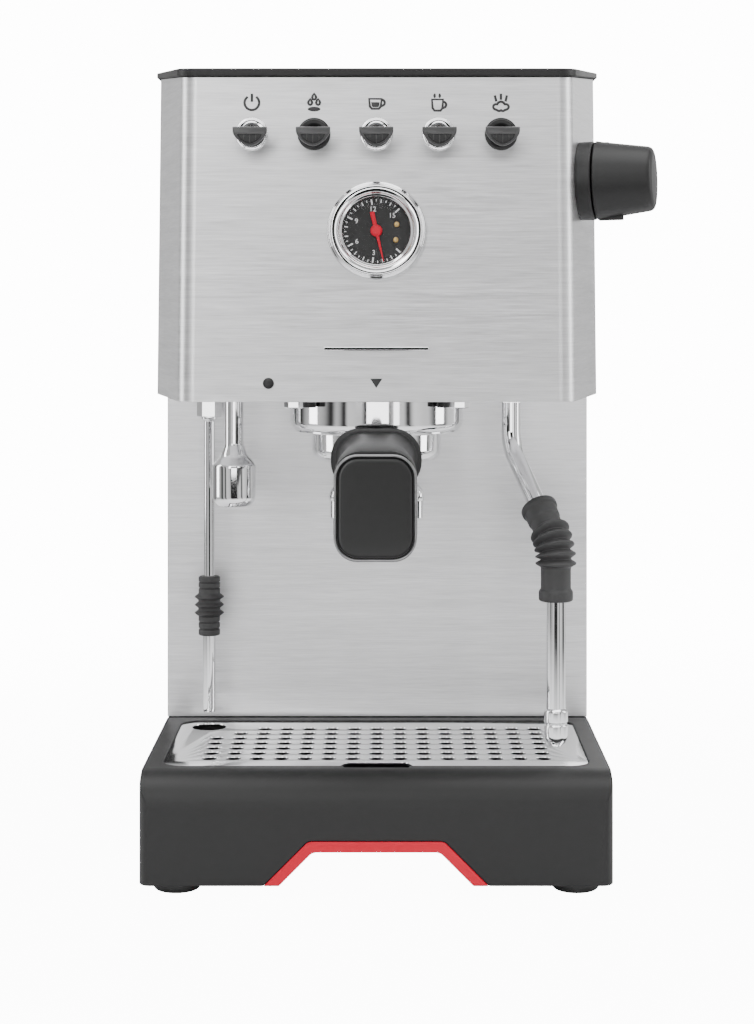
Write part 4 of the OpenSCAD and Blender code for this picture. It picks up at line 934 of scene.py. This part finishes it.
def make_end_cap():
    """Thin rim in a lighter grey that paints its highlight, a groove, and a flat plate within."""
    front = -HANDLE_REACH + 3.6
    shell = [(4.6, 0.8), (0.9, 0.0), (0.3, 0.1), (0.3, 1.1), (1.5, 1.2), (1.5, 1.7), (0.35, 2.05),
             (0.12, 2.4), (0.05, 3.4), (0.0, 8.0)]
    cap_piece("handle_end_cap.plate", [cap_ring(front, *step) for step in shell], "glossy_black",
              ("handle_end_cap",))
    # The rim is lighter than the black cap: a painted highlight on its edge
    rim = [(0.35, 0.05), (-0.05, 0.25), (-0.15, 0.6), (-0.05, 0.95), (0.35, 1.15), (1.0, 0.6)]
    cap_piece("handle_end_cap.painted_highlight_rim", [cap_ring(front, *step) for step in rim], "cap_trim", loop=True)


def cap_ring(front, depth, inset):
    return handle_ring(front + depth, 38.4 - 2 * inset, 49.4 - 2 * inset,
                       11.0 - inset * 0.9 if inset < 6 else 4.0)


def cap_piece(name, rings, material, nodes=(), loop=False):
    bm = bmesh.new()
    loft(bm, rings, place(0, 0, 0), loop)
    piece(name, bm, material, "portafilter", "glossy_black", nodes, angle=45)


# ---------- steam wand ----------
BEND_L = WAND_R * WAND_A
SLANT_L = (WAND_OUT - 2 * WAND_R * (1 - math.cos(WAND_A))) / math.sin(WAND_A)
BEND_END = 2 * BEND_L + SLANT_L


def wand_point(s):
    """Place and heading on the wand's centre line, s mm after the start of its upper bend."""
    if s < 0:
        return 0.0, WAND_Z - s, 0.0
    angle = min(s / WAND_R, WAND_A)
    x, z = WAND_R * (1 - math.cos(angle)), WAND_Z - WAND_R * math.sin(angle)
    if s <= BEND_L:
        return x, z, angle
    run = min(s - BEND_L, SLANT_L)
    x, z = x + run * math.sin(WAND_A), z - run * math.cos(WAND_A)
    if s <= BEND_L + SLANT_L:
        return x, z, WAND_A
    angle = WAND_A - min((s - BEND_L - SLANT_L) / WAND_R, WAND_A)
    x += WAND_R * (math.cos(angle) - math.cos(WAND_A))
    z -= WAND_R * (math.sin(WAND_A) - math.sin(angle))
    return x, z - max(0.0, s - BEND_END), angle


def sweep(bm, stations, matrix, segments=40):
    """A tube along the wand: stations are (distance, radius)."""
    rings = []
    for s, radius in stations:
        x, z, angle = wand_point(s)
        across = Vector((math.cos(angle), 0, math.sin(angle)))
        rings.append([bm.verts.new(matrix @ (Vector((x, 0, z)) + across * radius * math.cos(a)
                                             + Vector((0, radius * math.sin(a), 0))))
                      for a in (2 * math.pi * k / segments for k in range(segments))])
    rings_to_faces(bm, rings)


def spaced(start, end, step):
    count = max(1, math.ceil((end - start) / step))
    return [start + (end - start) * k / count for k in range(count + 1)]


def make_wand():
    matrix = place(WAND_X, WAND_Y, 0, (WAND_DIR, "Z"))
    last = BEND_END + wand_point(BEND_END)[1] - WAND_TIP_Z - 19.8
    bm = bmesh.new()
    sweep(bm, [(s, 5.0) for s in spaced(WAND_Z - HEAD_Z - 11, 0, 6) + spaced(0.5, BEND_L, 1)
               + spaced(BEND_L + 1, BEND_L + SLANT_L, 6)
               + spaced(BEND_L + SLANT_L + 0.5, BEND_END, 1) + spaced(BEND_END + 1, last, 6)], matrix)
    piece("wand_tube.bent", bm, "polished_chrome", "steam_wand", nodes=("wand_tube",), angle=50)
    make_grip(matrix)
    make_tip(matrix)


def make_grip(matrix):
    """Rubber grip: lipped collar, bellows round the bend, and a flared cuff."""
    start = BEND_L + SLANT_L * 0.66
    ridges = [BEND_END - math.radians(11 * k) * WAND_R for k in range(5)][::-1]
    corners = [(start - 0.2, 5.05, 0), (start - 0.2, 8.2, 0.6), (start + 0.3, 9.7, 0.8),
               (start + 3.2, 9.7, 0.8), (start + 3.8, 8.8, 0.4), (start + 9.6, 8.6, 0.6),
               (start + 10.6, 8.0, 0.4)]
    for ridge in ridges:
        corners += [(ridge - 1.9, 8.0, 0.4), (ridge - 0.4, 10.6, 0.35), (ridge + 0.4, 10.6, 0.35),
                    (ridge + 1.9, 8.0, 0.4)]
    end = BEND_END + 19.5
    corners += [(BEND_END + 3.0, 7.8, 0.4), (end - 6.4, 7.8, 0.6), (end - 5.2, 8.9, 0.8),
                (end - 0.6, 8.9, 0.6), (end, 8.2, 0.4), (end, 5.05, 0)]
    bm = bmesh.new()
    stations = [(p.x, p.y) for p in rounded(corners, 3)]
    dense = []
    for (s0, r0), (s1, r1) in zip(stations, stations[1:]):
        count = max(1, math.ceil((s1 - s0) / 1.5))
        dense += [(s0 + (s1 - s0) * k / count, r0 + (r1 - r0) * k / count) for k in range(count)]
    sweep(bm, [*dense, stations[-1]], matrix, 48)
    piece("wand_grip.moulded", bm, "rubber", "steam_wand", nodes=("wand_grip",), angle=40)


def make_tip(matrix):
    """Turned tip with a groove and four jets; its flats are not shaped."""
    base = matrix @ Matrix.Translation((WAND_OUT, 0, WAND_TIP_Z))
    bm = bmesh.new()
    lathe(bm, rounded([(0, 0.0, 0), (3.6, 0.2, 0.8), (5.4, 3.0, 1.2), (6.2, 5.0, 0.8), (6.2, 11.0, 0.3),
                       (5.7, 11.5, 0.2), (5.7, 12.3, 0.2), (6.2, 12.8, 0.3), (6.2, 18.6, 0.6),
                       (5.0, 19.8, 0.4), (0, 19.8, 0)], 5), base, 48)
    piece("wand_tip.turned", bm, "polished_chrome", "steam_wand", nodes=("wand_tip",))
    # The jets are dark plugs that paint the shade inside the jet holes
    bm = bmesh.new()
    for k in range(4):
        turn = Matrix.Rotation(math.pi / 2 * k + math.pi / 4, 4, "Z")
        turn = turn @ Matrix.Translation((4.75, 0, 2.2)) @ Matrix.Rotation(math.radians(120), 4, "Y")
        lathe(bm, rounded([(0, 0.15, 0), (0.75, 0.15, 0.1), (0.75, -0.6, 0), (0, -0.6, 0)], 2),
              base @ turn, 20)
    piece("tip_jets", bm, "dark_steel", "steam_wand", "polished_chrome")


# ---------- water outlets ----------
def make_outlets():
    nozzle = place(NOZZLE_X, WAND_Y, 0)
    bm = bmesh.new()
    lathe(bm, rounded([(0, 191.4, 0), (7.0, 191.4, 0.3), (7.3, 190.3, 0.4), (9.0, 190.0, 1.0),
                       (11.65, 193.2, 2.4), (11.65, 211.6, 0.8), (11.3, 212.6, 0.5), (7.3, 217.0, 1.2),
                       (5.2, 222.6, 0.6), (5.0, 223.4, 0.4), (5.0, HEAD_Z + 10, 0), (0, HEAD_Z + 10, 0)], 6),
          nozzle, 96)
    piece("hot_water_nozzle.turned", bm, "polished_chrome", "machine", nodes=("hot_water_nozzle",))
    drain = place(DRAIN_X, DRAIN_Y, 0)
    bm = bmesh.new()
    hexagon(bm, 12.0, HEAD_Z - 14.5, HEAD_Z - 0.2, drain, 0.7)
    lathe(bm, rounded([(0, 130, 0), (3.0, 130, 0), (3.0, HEAD_Z - 16.5, 0.4), (4.4, HEAD_Z - 15.5, 0.4),
                       (4.4, HEAD_Z - 13, 0), (0, HEAD_Z - 13, 0)]), drain, 40)
    lathe(bm, rounded([(2.6, 118, 0), (2.6, 70.2, 0.2), (3.1, 70.0, 0.4), (3.5, 71.6, 0.8), (3.5, 118, 0)],
                      4), drain, 40, loop=True)
    piece("discharge_tube.turned", bm, "polished_chrome", "machine", nodes=("discharge_tube",))
    corners = [(0, 113, 0), (5.6, 113, 0.3)]
    for z in (113.3, 117.0, 120.7):
        corners += [(6.0, z + 0.2, 0.3), (6.0, z + 2.9, 0.3), (5.4, z + 3.2, 0.1), (5.4, z + 3.5, 0.1)]
    for z in (125.5, 130.0, 134.5):
        corners += [(6.2, z - 1.7, 0.2), (8.3, z, 0.15), (6.2, z + 1.7, 0.2)]
    for z in (136.4, 139.8, 143.0):
        corners += [(6.0, z + 0.1, 0.3), (6.0, z + 2.5, 0.3), (5.4, z + 2.8, 0.1), (5.4, z + 3.0, 0.1)]
    corners += [(3.2, 146, 0.2), (0, 146, 0)]
    bm = bmesh.new()
    lathe(bm, rounded(corners, 3), drain, 56)
    piece("discharge_joint.moulded", bm, "rubber", "machine", nodes=("discharge_joint",))


# ---------- small things ----------
def make_lamp():
    bm = bmesh.new()
    lathe(bm, rounded([(0, 1.5, 0), (1.9, 1.35, 0.8), (2.4, 0.9, 0.3), (2.85, 0.8, 0.3), (2.85, -0.1, 0)], 5),
          out_of_panel(-55, 259), 40)
    piece("indicator_lamp.turned", bm, "glossy_black", "machine", nodes=("indicator_lamp",))


def make_screws():
    """Cross-head screws of the rear panel and the sides."""
    bm = bmesh.new()
    spots = [place(x, REAR_Y, z, (-math.pi / 2, "X")) for x in (-104, 104) for z in (80, 240, 400)]
    for sx in (-1, 1):
        for z in (86, 236, 396):
            spots.append(place(sx * BODY_HALF, REAR_Y - 14, z, (sx * math.pi / 2, "Y")))
    for spot in spots:
        lathe(bm, rounded([(0, 0.9, 0), (0.9, 0.9, 0.2), (1.0, 1.4, 0.2), (2.4, 1.2, 0.8), (3.1, 0.3, 0.3),
                           (3.1, -0.1, 0)], 4), spot, 28)
    piece("panel_screws", bm, "plain_steel", "machine", "brushed_steel")


def finish_cad_nodes():
    """The CAD nodes that stay get the same finishes."""
    for name, node in NODES.items():
        node.data.materials.clear()
        node.data.materials.append(MATERIALS[SLOT_OF[name]])


finish_cad_nodes()
make_base()
make_shell()
make_bezels()
for lever in range(1, 6):
    make_lever(lever)
make_marks()
make_gauge()
make_knob()
make_group()
make_portafilter()
make_wand()
make_outlets()
make_lamp()
make_screws()
